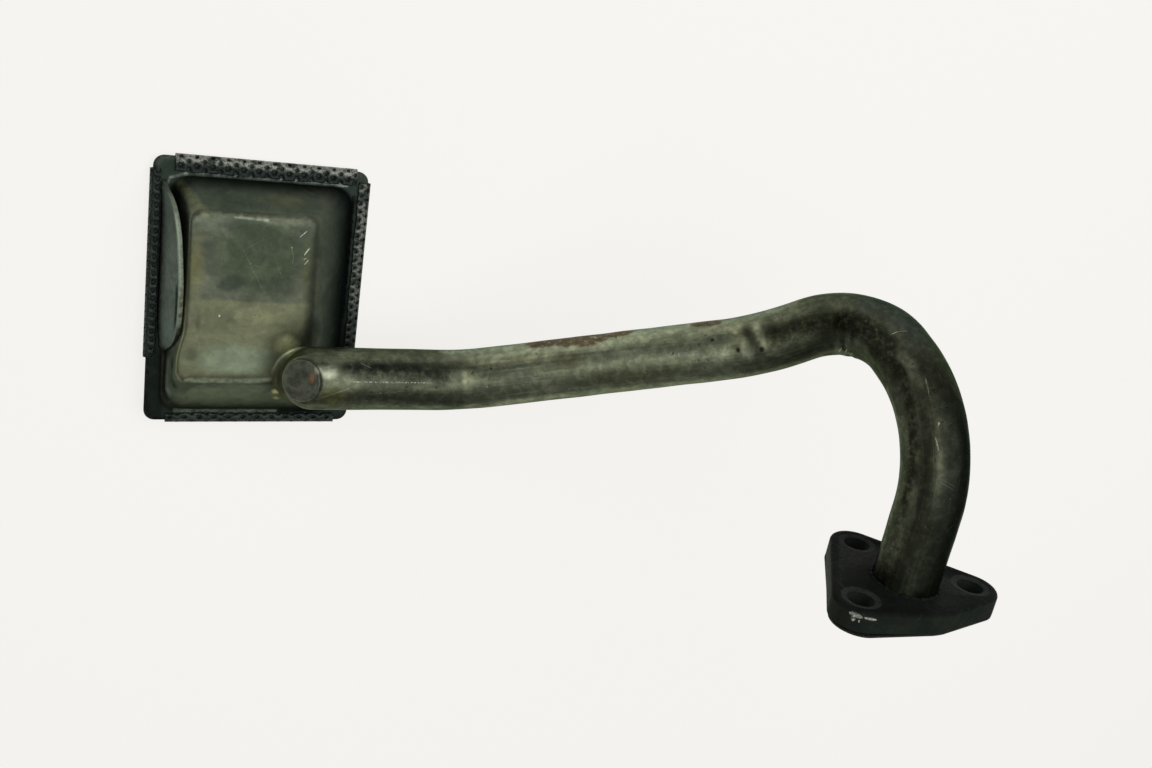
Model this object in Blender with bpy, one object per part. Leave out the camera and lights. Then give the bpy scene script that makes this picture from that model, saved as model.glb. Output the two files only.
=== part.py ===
"""Oil pickup tube: a strainer pan, a bent suction tube and a three-hole flange. Metres, +Z up.

The origin lies on the flange's mounting face, straight below the bore. The face looks along -Y. The strainer hangs
below it, screen down, and the tube's first run follows +X over the strainer's dome.
"""

import math

import bmesh
import bpy
from mathutils import Matrix, Vector

# Clearances between pieces that touch
SEAT_GAP = 0.0002
FIT_GAP = 0.0003

# Flange and gasket, seen from the tube's side: X to the left, Z up
FLANGE_THICKNESS = 0.0097
FLANGE_HUB_RADIUS = 0.0262
FLANGE_LOBE_RADIUS = 0.0120
FLANGE_CHAMFER = 0.0012
FLANGE_TURN = math.radians(2.5)
BOLT_DROP = 0.0330
BOLT_SPREAD = 0.0303
BOLT_RISE = 0.0080
BOLT_HOLE_RADIUS = 0.0056
SPOTFACE_RADIUS = 0.0086
SPOTFACE_DEPTH = 0.0004
BORE_ABOVE_ORIGIN = 0.0205
GASKET_THICKNESS = 0.0008
GASKET_TURN = math.radians(-1.2)
GASKET_HUB_CUT = 0.0010
WELD_LEG = 0.0018
WELD_CURVE = ((1.0, 0.0), (0.75, 0.55), (0.3, 0.85), (0.0, 1.0))

# Suction tube
TUBE_RADIUS = 0.014
TUBE_WALL = 0.0015
TUBE_RECESS = 0.001
BEND_TO_RISE = Vector((-0.0378, 0.0825, -0.0701))
BEND_TO_CREST = Vector((0.0, 0.1096, -0.0492))
BEND_TO_FLANGE_Y = 0.0836
FIRST_BEND_X = -0.1568
BEND_RADII = (0.0545, 0.135, 0.0357, 0.0558)

# Closed end of the tube over the dome
PLUG_RADIUS = 0.0084
PLUG_THICKNESS = 0.0013
PLUG_LAND = 0.0014
PLUG_EDGE = 0.0004
PLUG_DIRECTION = Vector((-0.64, 0.15, 0.75)).normalized()

# Strainer pan, in its own frame: origin at the rim's centre, +X along the tube's first run
PAN_CENTRE = Vector((-0.2470, 0.0635, -0.1682))
PAN_TILT = math.radians(-3.15)
SHEET = 0.0015
PAN_HALF_X = 0.048
PAN_HALF_Y = 0.062
RIM_CORNER = 0.005
DOME_HEIGHT = 0.025
FOOT_FROM_EDGE = (0.0095, 0.0077, 0.0062, 0.0087)
TOP_FROM_FOOT = (0.0050, 0.0201, 0.0225, 0.0109)
FOOT_CORNER = 0.009
TOP_CORNER = 0.005
CREASE_ROUND = 0.0035
HEEL_ROUND = 0.0012
POCKET_START = Vector((0.0003, 0.0373))
POCKET_END = Vector((-0.0096, 0.0123))
POCKET_SLOPE = 0.35
RUN_FROM_TOP_EDGE = 0.0079
RUN_CLEARANCE = 0.002

# Neck that joins the dome to the tube's closed end: it leans and widens towards the dome's foot
NECK_INSIDE_TUBE = 0.0036
NECK_WALL = 0.0015
NECK_FLARE = 0.0038
NECK_LEAN = Vector((-0.0023, -0.0132))
BRAZE_HEIGHT = 0.0020
BRAZE_WIDTH = 0.0016

# Bypass louvre in the dome's left wall
LOUVRE_BELOW_TOP = 0.0020
LOUVRE_FROM_FAR_EDGE = 0.0110
LOUVRE_FROM_NEAR_EDGE = 0.0400
LOUVRE_MIDDLE_Y = 0.003
LOUVRE_SHEET = 0.0018
LOUVRE_STANDOFF = 0.0012
LOUVRE_ROOT_DEPTH = 0.0003
LOUVRE_LEAST_HEIGHT = 0.0005
LOUVRE_FAR_CURVE = (2.0, 0.62)
LOUVRE_NEAR_CURVE = (4.0, 0.5)
WINDOW_MARGIN = 0.007
WINDOW_FLOOR = 0.0056
WINDOW_DEPTH = 0.004

# Perforated screen
SCREEN_SHEET = 0.0010
TAB_WIDTHS = {"left": 0.0047, "right": 0.0056, "bottom": 0.0046, "top": 0.0071}
TAB_ENDS_FROM_CORNER = {"left": (0.032, 0.008), "right": (0.012, 0.008), "bottom": (0.0105, 0.0105),
                        "top": (0.010, 0.007)}
HOLE_RADIUS = 0.0021
HOLE_PITCH = 0.0096
SCREEN_MARGIN = 0.0055

# Facets
OUTER_SIDES = 24
INNER_SIDES = 16
ROUND_SIDES = 32
HOLE_SIDES = 8
CORNER_STEPS = 5
LOUVRE_STEPS = 18
BEND_STEP = math.radians(9.0)

EAST = Vector((1.0, 0.0, 0.0))
NORTH = Vector((0.0, 1.0, 0.0))
PAN = Matrix.Translation(PAN_CENTRE) @ Matrix.Rotation(PAN_TILT, 4, "X")
BORE_CENTRE = Vector((0.0, 0.0, BORE_ABOVE_ORIGIN))
FLANGE_FACE_Y = GASKET_THICKNESS + SEAT_GAP
FLANGE_BACK_Y = FLANGE_FACE_Y + FLANGE_THICKNESS
RUN_HEIGHT = DOME_HEIGHT + RUN_CLEARANCE + TUBE_RADIUS
SCREEN_FACE_Z = -SHEET / 2 - FIT_GAP
TAB_FACE_Z = SHEET / 2 + FIT_GAP
RIM_HALF_X = PAN_HALF_X - SCREEN_SHEET - FIT_GAP
RIM_HALF_Y = PAN_HALF_Y - SCREEN_SHEET - FIT_GAP

# The dome's sides as (left, right, near, far), at its foot and at its top
DOME_FOOT = (-PAN_HALF_X + FOOT_FROM_EDGE[0], PAN_HALF_X - FOOT_FROM_EDGE[1],
             -PAN_HALF_Y + FOOT_FROM_EDGE[2], PAN_HALF_Y - FOOT_FROM_EDGE[3])
DOME_TOP = (DOME_FOOT[0] + TOP_FROM_FOOT[0], DOME_FOOT[1] - TOP_FROM_FOOT[1],
            DOME_FOOT[2] + TOP_FROM_FOOT[2], DOME_FOOT[3] - TOP_FROM_FOOT[3])
TOP_CORNER_POINT = Vector((DOME_TOP[1], DOME_TOP[2]))
POCKET_LINE = (TOP_CORNER_POINT + POCKET_START, TOP_CORNER_POINT + POCKET_END)
RUN_OFFSET_Y = DOME_TOP[2] + RUN_FROM_TOP_EDGE
END_CENTRE_X = DOME_TOP[1]
PLUG_SEAT_DISTANCE = math.sqrt(TUBE_RADIUS ** 2 - (PLUG_RADIUS + PLUG_LAND) ** 2)
NECK_RADIUS = TUBE_RADIUS - NECK_INSIDE_TUBE
LOUVRE_HEIGHT = DOME_HEIGHT - LOUVRE_BELOW_TOP
LOUVRE_UP = PAN_HALF_Y - LOUVRE_FROM_FAR_EDGE - LOUVRE_MIDDLE_Y
LOUVRE_DOWN = PAN_HALF_Y - LOUVRE_FROM_NEAR_EDGE + LOUVRE_MIDDLE_Y

STEEL = ("worn_steel", (0.16, 0.17, 0.14), 0.45, 0.9)
SCREEN_STEEL = ("screen_steel", (0.09, 0.10, 0.09), 0.55, 0.8)
FLANGE_STEEL = ("flange_steel", (0.04, 0.05, 0.045), 0.5, 0.8)
BRAZE = ("braze", (0.34, 0.30, 0.16), 0.5, 0.8)
GASKET = ("gasket_paper", (0.03, 0.028, 0.024), 0.9, 0.0)


def clear_scene():
    """Removes every object, so that the script gives the same result each run."""
    for thing in list(bpy.data.objects):
        bpy.data.objects.remove(thing, do_unlink=True)


def finish(name, mesh_data, placement=None, material=None):
    """Turns a bmesh into a named object, at a place, with its material."""
    bmesh.ops.recalc_face_normals(mesh_data, faces=mesh_data.faces)
    mesh = bpy.data.meshes.new(name)
    mesh_data.to_mesh(mesh)
    mesh_data.free()
    thing = bpy.data.objects.new(name, mesh)
    bpy.context.scene.collection.objects.link(thing)
    if placement is not None:
        thing.matrix_world = placement
    if material is None:
        thing.hide_render = True
        thing.display_type = "WIRE"
        return thing
    mesh.materials.append(principled(*material))
    mesh.shade_smooth()
    mesh.set_sharp_from_angle(angle=math.radians(35.0))
    return thing


def principled(name, colour, roughness, metallic):
    """A plain material with the finish of one piece."""
    found = bpy.data.materials.get(name)
    if found:
        return found
    material = bpy.data.materials.new(name)
    material.use_nodes = True
    shader = material.node_tree.nodes["Principled BSDF"]
    shader.inputs["Base Color"].default_value = (*colour, 1.0)
    shader.inputs["Roughness"].default_value = roughness
    shader.inputs["Metallic"].default_value = metallic
    return material


def combine(thing, operation, cutter):
    """Adds a boolean step to a piece."""
    step = thing.modifiers.new(f"{operation.lower()} {cutter.name}", "BOOLEAN")
    step.operation = operation
    step.solver = "EXACT"
    step.object = cutter


def skin(bm, rings, cap_start=True, cap_end=True):
    """Joins closed rings of points into a skin, with flat caps at its ends."""
    loops = [[bm.verts.new(point) for point in ring] for ring in rings]
    for lower, upper in zip(loops, loops[1:]):
        count = len(lower)
        for k in range(count):
            bm.faces.new((lower[k], lower[(k + 1) % count], upper[(k + 1) % count], upper[k]))
    if cap_start:
        bm.faces.new(loops[0])
    if cap_end:
        bm.faces.new(loops[-1])
    return loops


def circle(centre, across, along, radius, sides):
    """Points of a circle in the plane of two unit vectors."""
    turns = [2.0 * math.pi * k / sides for k in range(sides)]
    return [centre + (across * math.cos(a) + along * math.sin(a)) * radius for a in turns]


def cylinder(name, start, end, radius, sides, placement=None, material=None):
    """A solid cylinder between two points."""
    axis = (end - start).normalized()
    across = axis.orthogonal().normalized()
    along = axis.cross(across)
    bm = bmesh.new()
    skin(bm, [circle(start, across, along, radius, sides), circle(end, across, along, radius, sides)])
    return finish(name, bm, placement, material)


def revolve(name, profile, base, axis, sides, placement, material):
    """A closed ring turned from a profile of (radius, height) points round an axis."""
    across = axis.orthogonal().normalized()
    along = axis.cross(across)
    bm = bmesh.new()
    rings = [circle(base + axis * height, across, along, radius, sides) for radius, height in profile]
    skin(bm, rings + [rings[0]], cap_start=False, cap_end=False)
    bmesh.ops.remove_doubles(bm, verts=bm.verts, dist=1e-6)
    return finish(name, bm, placement, material)


def rounded_outline(box, corner, steps=CORNER_STEPS):
    """A rectangle (x0, x1, y0, y1) with round corners, anticlockwise."""
    x0, x1, y0, y1 = box
    centres = ((x1 - corner, y1 - corner, 0.0), (x0 + corner, y1 - corner, 90.0),
               (x0 + corner, y0 + corner, 180.0), (x1 - corner, y0 + corner, 270.0))
    points = []
    for cx, cy, start in centres:
        for k in range(steps + 1):
            a = math.radians(start + 90.0 * k / steps)
            points.append((cx + corner * math.cos(a), cy + corner * math.sin(a)))
    return points


def level(outline, z):
    """An outline lifted to a height."""
    return [Vector((x, y, z)) for x, y in outline]


# The tube's route, worked out from the pan, the bends and the flange


def route_corners():
    """Corners of the tube's centreline, from the closed end to the flange."""
    closed_end = PAN @ Vector((END_CENTRE_X, RUN_OFFSET_Y, RUN_HEIGHT))
    run = (PAN.to_3x3() @ Vector((1.0, 0.0, 0.0))).normalized()
    first_bend = closed_end + run * ((FIRST_BEND_X - closed_end.x) / run.x)
    last_bend = Vector((BORE_CENTRE.x, BEND_TO_FLANGE_Y, BORE_CENTRE.z))
    foot = Vector((BORE_CENTRE.x, FLANGE_FACE_Y + TUBE_RECESS, BORE_CENTRE.z))
    return [closed_end, first_bend, BEND_TO_RISE, BEND_TO_CREST, last_bend, foot]


def rounded_route(corners, radii):
    """The centreline with each corner turned into an arc of its bend radius."""
    points = [corners[0]]
    for before, corner, after, radius in zip(corners, corners[1:], corners[2:], radii):
        arriving = (corner - before).normalized()
        leaving = (after - corner).normalized()
        turn = arriving.angle(leaving)
        inward = (leaving - arriving * arriving.dot(leaving)).normalized()
        start = corner - arriving * radius * math.tan(turn / 2.0)
        centre = start + inward * radius
        steps = max(2, math.ceil(turn / BEND_STEP))
        for k in range(steps + 1):
            a = turn * k / steps
            points.append(centre + (arriving * math.sin(a) - inward * math.cos(a)) * radius)
    points.append(corners[-1])
    return points


def tube_form(name, radius, sides, overrun=0.0):
    """The tube as a solid bar of a radius, with a round closed end, run on past its open end."""
    route = rounded_route(route_corners(), BEND_RADII)
    if overrun:
        route[-1] = route[-1] + (route[-1] - route[-2]).normalized() * overrun
    tangent = (route[1] - route[0]).normalized()
    across = tangent.orthogonal().normalized()
    rings = []
    pole = route[0] - tangent * radius
    for k in (1, 2, 3, 4):
        a = math.radians(90.0 - 18.0 * k)
        centre = route[0] - tangent * radius * math.sin(a)
        rings.append(circle(centre, across, tangent.cross(across), radius * math.cos(a), sides))
    for k, point in enumerate(route):
        ahead = route[min(k + 1, len(route) - 1)] - route[max(k - 1, 0)]
        turned = tangent.rotation_difference(ahead.normalized())
        tangent = ahead.normalized()
        across = (turned @ across).normalized()
        rings.append(circle(point, across, tangent.cross(across), radius, sides))
    bm = bmesh.new()
    loops = skin(bm, rings, cap_start=False)
    tip = bm.verts.new(pole)
    for k in range(sides):
        bm.faces.new((tip, loops[0][(k + 1) % sides], loops[0][k]))
    return bm


def neck_ring(height, grow):
    """A level ring of the neck at a height in the pan's frame, grown by a distance."""
    down = (RUN_HEIGHT - height) / RUN_HEIGHT
    centre = Vector((END_CENTRE_X + NECK_LEAN.x * down, RUN_OFFSET_Y + NECK_LEAN.y * down, height))
    radius = NECK_RADIUS + NECK_FLARE * down + grow
    return circle(centre, EAST, NORTH, radius, OUTER_SIDES)


def neck_form(name, low, high, grow, material=None):
    """The neck's leaning cone between two heights, grown by a distance."""
    bm = bmesh.new()
    skin(bm, [neck_ring(low, grow), neck_ring(high, grow)])
    return finish(name, bm, PAN, material)


def make_tube():
    """The suction tube: closed and flattened at the dome, open at the flange, with a port to the neck."""
    closed_end = route_corners()[0]
    outward = (PAN.to_3x3() @ PLUG_DIRECTION).normalized()
    bm = tube_form("suction_tube", TUBE_RADIUS, OUTER_SIDES)
    cut = bmesh.ops.bisect_plane(bm, geom=bm.verts[:] + bm.edges[:] + bm.faces[:], plane_no=outward,
                                 plane_co=closed_end + outward * PLUG_SEAT_DISTANCE, clear_outer=True)
    rim = [edge for edge in cut["geom_cut"] if isinstance(edge, bmesh.types.BMEdge)]
    bmesh.ops.contextual_create(bm, geom=rim)
    tube = finish("suction_tube", bm, None, STEEL)
    inner = tube_form("tube_bore", TUBE_RADIUS - TUBE_WALL, INNER_SIDES, overrun=TUBE_RADIUS)
    bore = finish("tube_bore", inner)
    combine(tube, "DIFFERENCE", bore)
    combine(tube, "DIFFERENCE", neck_form("tube_port", SHEET, RUN_HEIGHT, -NECK_WALL))
    return tube


def make_plug():
    """The flat disc that closes the tube's end."""
    outward = (PAN.to_3x3() @ PLUG_DIRECTION).normalized()
    across = outward.orthogonal().normalized()
    along = outward.cross(across)
    seat = route_corners()[0] + outward * (PLUG_SEAT_DISTANCE + SEAT_GAP)
    shoulder = seat + outward * (PLUG_THICKNESS - PLUG_EDGE)
    rings = [circle(seat, across, along, PLUG_RADIUS, ROUND_SIDES),
             circle(shoulder, across, along, PLUG_RADIUS, ROUND_SIDES),
             circle(seat + outward * PLUG_THICKNESS, across, along, PLUG_RADIUS - PLUG_EDGE, ROUND_SIDES)]
    bm = bmesh.new()
    skin(bm, rings)
    return finish("tube_end_plug", bm, None, STEEL)


# The strainer pan


def wall_shift(side):
    """How far an inner wall line lies inside the outer one, for a sheet bent up at that side's slope."""
    inset = abs(DOME_TOP[side] - DOME_FOOT[side])
    slope = math.atan2(DOME_HEIGHT - SHEET / 2.0, inset)
    return SHEET * math.tan(slope / 2.0)


def inner_box(box):
    """An outline box moved in by the sheet, side by side."""
    x0, x1, y0, y1 = box
    return (x0 + wall_shift(0), x1 - wall_shift(1), y0 + wall_shift(2), y1 - wall_shift(3))


def pocket_plane(depth):
    """The slanted pocket under the tube: a point and an outward normal, sunk by a depth along the normal."""
    start, end = POCKET_LINE
    line = (end - start).normalized()
    downhill = Vector((-line.y, line.x))
    normal = Vector((downhill.x * POCKET_SLOPE, downhill.y * POCKET_SLOPE, 1.0)).normalized()
    return Vector((start.x, start.y, DOME_HEIGHT)) - normal * depth, normal


def dome_form(rings, depth, crease, heel_level):
    """A closed dome through rings of outlines, cut by the pocket, with its creases rounded."""
    bm = bmesh.new()
    skin(bm, rings)
    point, normal = pocket_plane(depth)
    bmesh.ops.recalc_face_normals(bm, faces=bm.faces)
    everything = bm.verts[:] + bm.edges[:] + bm.faces[:]
    cut = bmesh.ops.bisect_plane(bm, geom=everything, plane_co=point, plane_no=normal, clear_outer=True)
    edges = [edge for edge in cut["geom_cut"] if isinstance(edge, bmesh.types.BMEdge)]
    bmesh.ops.contextual_create(bm, geom=edges)
    bmesh.ops.recalc_face_normals(bm, faces=bm.faces)
    sharp = math.radians(12.0)
    ridge = [edge for edge in bm.edges if edge.calc_face_angle(0.0) > sharp
             and min(v.co.z for v in edge.verts) > DOME_HEIGHT * 0.4]
    round_edges(bm, ridge, crease)
    if heel_level is not None:
        foot = [edge for edge in bm.edges if all(abs(v.co.z - heel_level) < 1e-6 for v in edge.verts)
                and edge.calc_face_angle(0.0) > sharp and inside_rim(edge)]
        round_edges(bm, foot, HEEL_ROUND)
    return bm


def round_edges(bm, edges, reach):
    """Rounds some edges over a distance from each."""
    bmesh.ops.bevel(bm, geom=edges, offset=reach, segments=3, profile=0.5, affect="EDGES", clamp_overlap=True)


def inside_rim(edge):
    """Whether an edge lies inside the rim's outer edge."""
    reach_x, reach_y = RIM_HALF_X - HEEL_ROUND, RIM_HALF_Y - HEEL_ROUND
    return all(abs(v.co.x) < reach_x and abs(v.co.y) < reach_y for v in edge.verts)


def make_housing(tube_space):
    """The pressed strainer housing: rim, dome, pocket, neck and bypass louvre in one sheet."""
    rim = rounded_outline((-RIM_HALF_X, RIM_HALF_X, -RIM_HALF_Y, RIM_HALF_Y), RIM_CORNER)
    foot = rounded_outline(DOME_FOOT, FOOT_CORNER)
    top = rounded_outline(DOME_TOP, TOP_CORNER)
    half = SHEET / 2.0
    outer = dome_form([level(rim, -half), level(rim, half), level(foot, half), level(top, DOME_HEIGHT)],
                      0.0, CREASE_ROUND, half)
    inner_foot = rounded_outline(inner_box(DOME_FOOT), FOOT_CORNER - SHEET / 2.0)
    inner_top = rounded_outline(inner_box(DOME_TOP), TOP_CORNER - SHEET / 2.0)
    inner = dome_form([level(inner_foot, -half - SHEET), level(inner_foot, -half),
                       level(inner_top, DOME_HEIGHT - SHEET)], SHEET, CREASE_ROUND - SHEET / 2.0, None)
    housing = finish("strainer_housing", outer, PAN, STEEL)
    hollow = finish("dome_hollow", inner, PAN)
    neck = neck_form("neck_form", SHEET, RUN_HEIGHT, 0.0)
    throat = neck_form("neck_bore", -SHEET, RUN_HEIGHT + SHEET, -NECK_WALL)
    combine(neck, "DIFFERENCE", tube_space)
    combine(housing, "UNION", neck)
    combine(housing, "DIFFERENCE", hollow)
    combine(housing, "DIFFERENCE", throat)
    combine(housing, "DIFFERENCE", louvre_window())
    combine(housing, "UNION", louvre_form())
    return housing


def louvre_height(y):
    """How high the louvre's free edge stands above the rim at a place along the wall."""
    reach = LOUVRE_UP if y > LOUVRE_MIDDLE_Y else LOUVRE_DOWN
    u = min(1.0, abs(y - LOUVRE_MIDDLE_Y) / reach)
    shoulder, fall = LOUVRE_FAR_CURVE if y > LOUVRE_MIDDLE_Y else LOUVRE_NEAR_CURVE
    return LOUVRE_HEIGHT * (1.0 - u ** shoulder) ** fall


def left_wall_x(z):
    """Where the dome's left wall lies at a height."""
    return DOME_FOOT[0] + (DOME_TOP[0] - DOME_FOOT[0]) * z / DOME_HEIGHT


def louvre_outline():
    """The louvre's free edge as (y, z) points, from its lower end to its upper end."""
    turns = [math.pi * k / LOUVRE_STEPS for k in range(LOUVRE_STEPS + 1)]
    span = [LOUVRE_MIDDLE_Y - math.cos(a) * (LOUVRE_UP if a > math.pi / 2 else LOUVRE_DOWN) for a in turns]
    return [(y, louvre_height(y)) for y in span]


def louvre_form():
    """The lanced lip: a leaning sheet that stands off the dome's left wall."""
    root = -LOUVRE_ROOT_DEPTH
    outline = [(y, max(z, root + LOUVRE_LEAST_HEIGHT)) for y, z in louvre_outline()]
    outline = [(outline[0][0], root)] + outline + [(outline[-1][0], root)]
    near = [Vector((left_wall_x(z) - LOUVRE_STANDOFF, y, z)) for y, z in outline]
    far = [point - Vector((LOUVRE_SHEET, 0.0, 0.0)) for point in near]
    bm = bmesh.new()
    skin(bm, [near, far])
    return finish("louvre_form", bm, PAN)


def louvre_window():
    """The slot in the dome's left wall behind the louvre."""
    scale = 1.0 - WINDOW_MARGIN / LOUVRE_HEIGHT
    floor = WINDOW_FLOOR
    outline = [(LOUVRE_MIDDLE_Y + (y - LOUVRE_MIDDLE_Y) * scale, z * scale) for y, z in louvre_outline()]
    above = [(y, z) for y, z in outline if z > floor]
    kept = [(above[0][0], floor)] + above + [(above[-1][0], floor)]
    outside = left_wall_x(0.0) - LOUVRE_STANDOFF - LOUVRE_SHEET
    inside = DOME_TOP[0] + WINDOW_DEPTH
    bm = bmesh.new()
    skin(bm, [[Vector((x, y, z)) for y, z in kept] for x in (outside, inside)])
    return finish("louvre_window", bm, PAN)


def make_braze(tube_space, neck_space):
    """The braze bead round the neck, where it meets the tube's underside."""
    braze = neck_form("neck_braze", DOME_HEIGHT, RUN_HEIGHT, BRAZE_WIDTH, BRAZE)
    near_tube = finish("near_tube", tube_form("near_tube", TUBE_RADIUS + BRAZE_HEIGHT, OUTER_SIDES))
    combine(braze, "INTERSECT", near_tube)
    lid = bmesh.new()
    outline = rounded_outline((-PAN_HALF_X, PAN_HALF_X, -PAN_HALF_Y, PAN_HALF_Y), RIM_CORNER)
    skin(lid, [level(outline, 0.0), level(outline, DOME_HEIGHT + FIT_GAP)])
    combine(braze, "DIFFERENCE", finish("dome_space", lid, PAN))
    combine(braze, "DIFFERENCE", tube_space)
    combine(braze, "DIFFERENCE", neck_space)
    return braze


def fold_profile(width):
    """Section of one folded edge: (distance in from the fold's outside, height)."""
    low = SCREEN_FACE_Z - SCREEN_SHEET
    high = TAB_FACE_Z + SCREEN_SHEET
    inner = SCREEN_SHEET
    root = SCREEN_SHEET + FIT_GAP + SHEET
    edge = SCREEN_SHEET * 0.5
    return [(0.0, low + edge), (0.0, high - edge), (edge, high), (width, high), (width, TAB_FACE_Z),
            (inner, TAB_FACE_Z), (inner, SCREEN_FACE_Z), (root, SCREEN_FACE_Z), (root, low), (edge, low)]


def tab_span(side):
    """Where a folded tab starts and ends along its side."""
    half = PAN_HALF_Y if side in ("left", "right") else PAN_HALF_X
    near, far = TAB_ENDS_FROM_CORNER[side]
    return near - half, half - far


def make_fold(side):
    """One edge of the screen folded round the rim, as a prism along that side."""
    profile = fold_profile(TAB_WIDTHS[side])
    start, end = tab_span(side)
    sign = -1.0 if side in ("left", "bottom") else 1.0
    rings = []
    for along in (start, end):
        if side in ("left", "right"):
            rings.append([Vector((sign * (PAN_HALF_X - depth), along, z)) for depth, z in profile])
        else:
            rings.append([Vector((along, sign * (PAN_HALF_Y - depth), z)) for depth, z in profile])
    bm = bmesh.new()
    skin(bm, rings)
    return finish(f"fold_{side}", bm, PAN)


def hole_places():
    """Centres of the screen's holes: rows along X, every other row moved by half a pitch."""
    row_step = HOLE_PITCH * math.sqrt(3.0) / 2.0
    half_x = RIM_HALF_X - SCREEN_MARGIN
    half_y = RIM_HALF_Y - SCREEN_MARGIN
    rows = int(half_y / row_step)
    places = []
    for row in range(-rows, rows + 1):
        shift = HOLE_PITCH / 2.0 if row % 2 else 0.0
        columns = int((half_x + shift) / HOLE_PITCH)
        for column in range(-columns, columns + 1):
            x = column * HOLE_PITCH + shift
            if abs(x) < half_x:
                places.append((x, row * row_step))
    return places


def make_screen():
    """The perforated screen, folded over the housing's rim on all four sides."""
    outline = rounded_outline((-RIM_HALF_X, RIM_HALF_X, -RIM_HALF_Y, RIM_HALF_Y), RIM_CORNER)
    bm = bmesh.new()
    skin(bm, [level(outline, SCREEN_FACE_Z - SCREEN_SHEET), level(outline, SCREEN_FACE_Z)])
    screen = finish("strainer_screen", bm, PAN, SCREEN_STEEL)
    for side in TAB_WIDTHS:
        combine(screen, "UNION", make_fold(side))
    holes = bmesh.new()
    for x, y in hole_places():
        rings = [circle(Vector((x, y, z)), EAST, NORTH, HOLE_RADIUS, HOLE_SIDES)
                 for z in (SCREEN_FACE_Z - 2.0 * SCREEN_SHEET, SCREEN_FACE_Z + SHEET)]
        skin(holes, rings)
    combine(screen, "DIFFERENCE", finish("screen_holes", holes, PAN))
    return screen


# The flange, its gasket and its weld


def bolt_places():
    """Centres of the three bolt holes in the flange's plane, as (x, z)."""
    c, s = math.cos(FLANGE_TURN), math.sin(FLANGE_TURN)
    pattern = ((0.0, -BOLT_DROP), (BOLT_SPREAD, BOLT_RISE), (-BOLT_SPREAD, BOLT_RISE))
    return [(BORE_CENTRE.x + x * c + z * s, BORE_CENTRE.z - x * s + z * c) for x, z in pattern]


def turned_places(turn):
    """The bolt places after a turn about the one at +X."""
    places = bolt_places()
    px, pz = places[1]
    c, s = math.cos(turn), math.sin(turn)
    return [(px + (x - px) * c - (z - pz) * s, pz + (x - px) * s + (z - pz) * c) for x, z in places]


def flange_plate(y0, y1, chamfer, turn=0.0, hub_radius=FLANGE_HUB_RADIUS):
    """The flange's outline, drawn tight round its hub and three lobes, as a plate between two planes."""
    bm = bmesh.new()
    discs = [(BORE_CENTRE.x, BORE_CENTRE.z, hub_radius)]
    discs += [(x, z, FLANGE_LOBE_RADIUS) for x, z in turned_places(turn)]
    for x, z, radius in discs:
        for y in (y0, y1):
            centre = Vector((x, y, z))
            for point in circle(centre, EAST, Vector((0.0, 0.0, 1.0)), radius, ROUND_SIDES):
                bm.verts.new(point)
    hull = bmesh.ops.convex_hull(bm, input=bm.verts)
    loose = [v for v in hull["geom_interior"] + hull["geom_unused"] if isinstance(v, bmesh.types.BMVert)]
    bmesh.ops.delete(bm, geom=list(set(loose)), context="VERTS")
    bmesh.ops.dissolve_limit(bm, angle_limit=math.radians(1.0), verts=bm.verts, edges=bm.edges)
    if chamfer:
        top = [edge for edge in bm.edges if all(abs(v.co.y - y1) < 1e-6 for v in edge.verts)]
        bmesh.ops.bevel(bm, geom=top, offset=chamfer, segments=2, profile=0.5, affect="EDGES")
    return bm


def hole_cutter(name, x, z, radius, y0, y1):
    """A cutter for a round hole along Y."""
    return cylinder(name, Vector((x, y0, z)), Vector((x, y1, z)), radius, OUTER_SIDES)


def make_flange():
    """The thick flange, with its bore, three bolt holes and the spot faces round them."""
    plate = flange_plate(FLANGE_FACE_Y, FLANGE_BACK_Y, FLANGE_CHAMFER)
    flange = finish("mounting_flange", plate, None, FLANGE_STEEL)
    past = FLANGE_THICKNESS / 2.0
    low, high = FLANGE_FACE_Y - past, FLANGE_BACK_Y + past
    bore = hole_cutter("flange_bore", BORE_CENTRE.x, BORE_CENTRE.z, TUBE_RADIUS + FIT_GAP, low, high)
    combine(flange, "DIFFERENCE", bore)
    for number, (x, z) in enumerate(bolt_places(), start=1):
        combine(flange, "DIFFERENCE", hole_cutter(f"bolt_hole_{number}", x, z, BOLT_HOLE_RADIUS, low, high))
        combine(flange, "DIFFERENCE", hole_cutter(f"spot_face_{number}", x, z, SPOTFACE_RADIUS,
                                                  FLANGE_BACK_Y - SPOTFACE_DEPTH, high))
    return flange


def make_gasket():
    """The thin gasket left on the mounting face, turned a little, so that it stands proud at one corner."""
    plate = flange_plate(0.0, GASKET_THICKNESS, 0.0, GASKET_TURN, FLANGE_HUB_RADIUS - GASKET_HUB_CUT)
    gasket = finish("flange_gasket", plate, None, GASKET)
    low, high = -GASKET_THICKNESS, 2.0 * GASKET_THICKNESS
    bore = hole_cutter("gasket_bore", BORE_CENTRE.x, BORE_CENTRE.z, TUBE_RADIUS + WELD_LEG / 2.0, low, high)
    combine(gasket, "DIFFERENCE", bore)
    for number, (x, z) in enumerate(bolt_places(), start=1):
        cutter = hole_cutter(f"gasket_hole_{number}", x, z, BOLT_HOLE_RADIUS + FIT_GAP, low, high)
        combine(gasket, "DIFFERENCE", cutter)
    return gasket


def make_weld():
    """The weld bead round the tube's foot."""
    inner = TUBE_RADIUS + FIT_GAP
    profile = [(inner, 0.0)] + [(inner + WELD_LEG * out, WELD_LEG * up) for out, up in WELD_CURVE]
    base = Vector((BORE_CENTRE.x, FLANGE_BACK_Y + SEAT_GAP, BORE_CENTRE.z))
    return revolve("flange_weld", profile, base, Vector((0.0, 1.0, 0.0)), OUTER_SIDES, None, FLANGE_STEEL)


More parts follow.
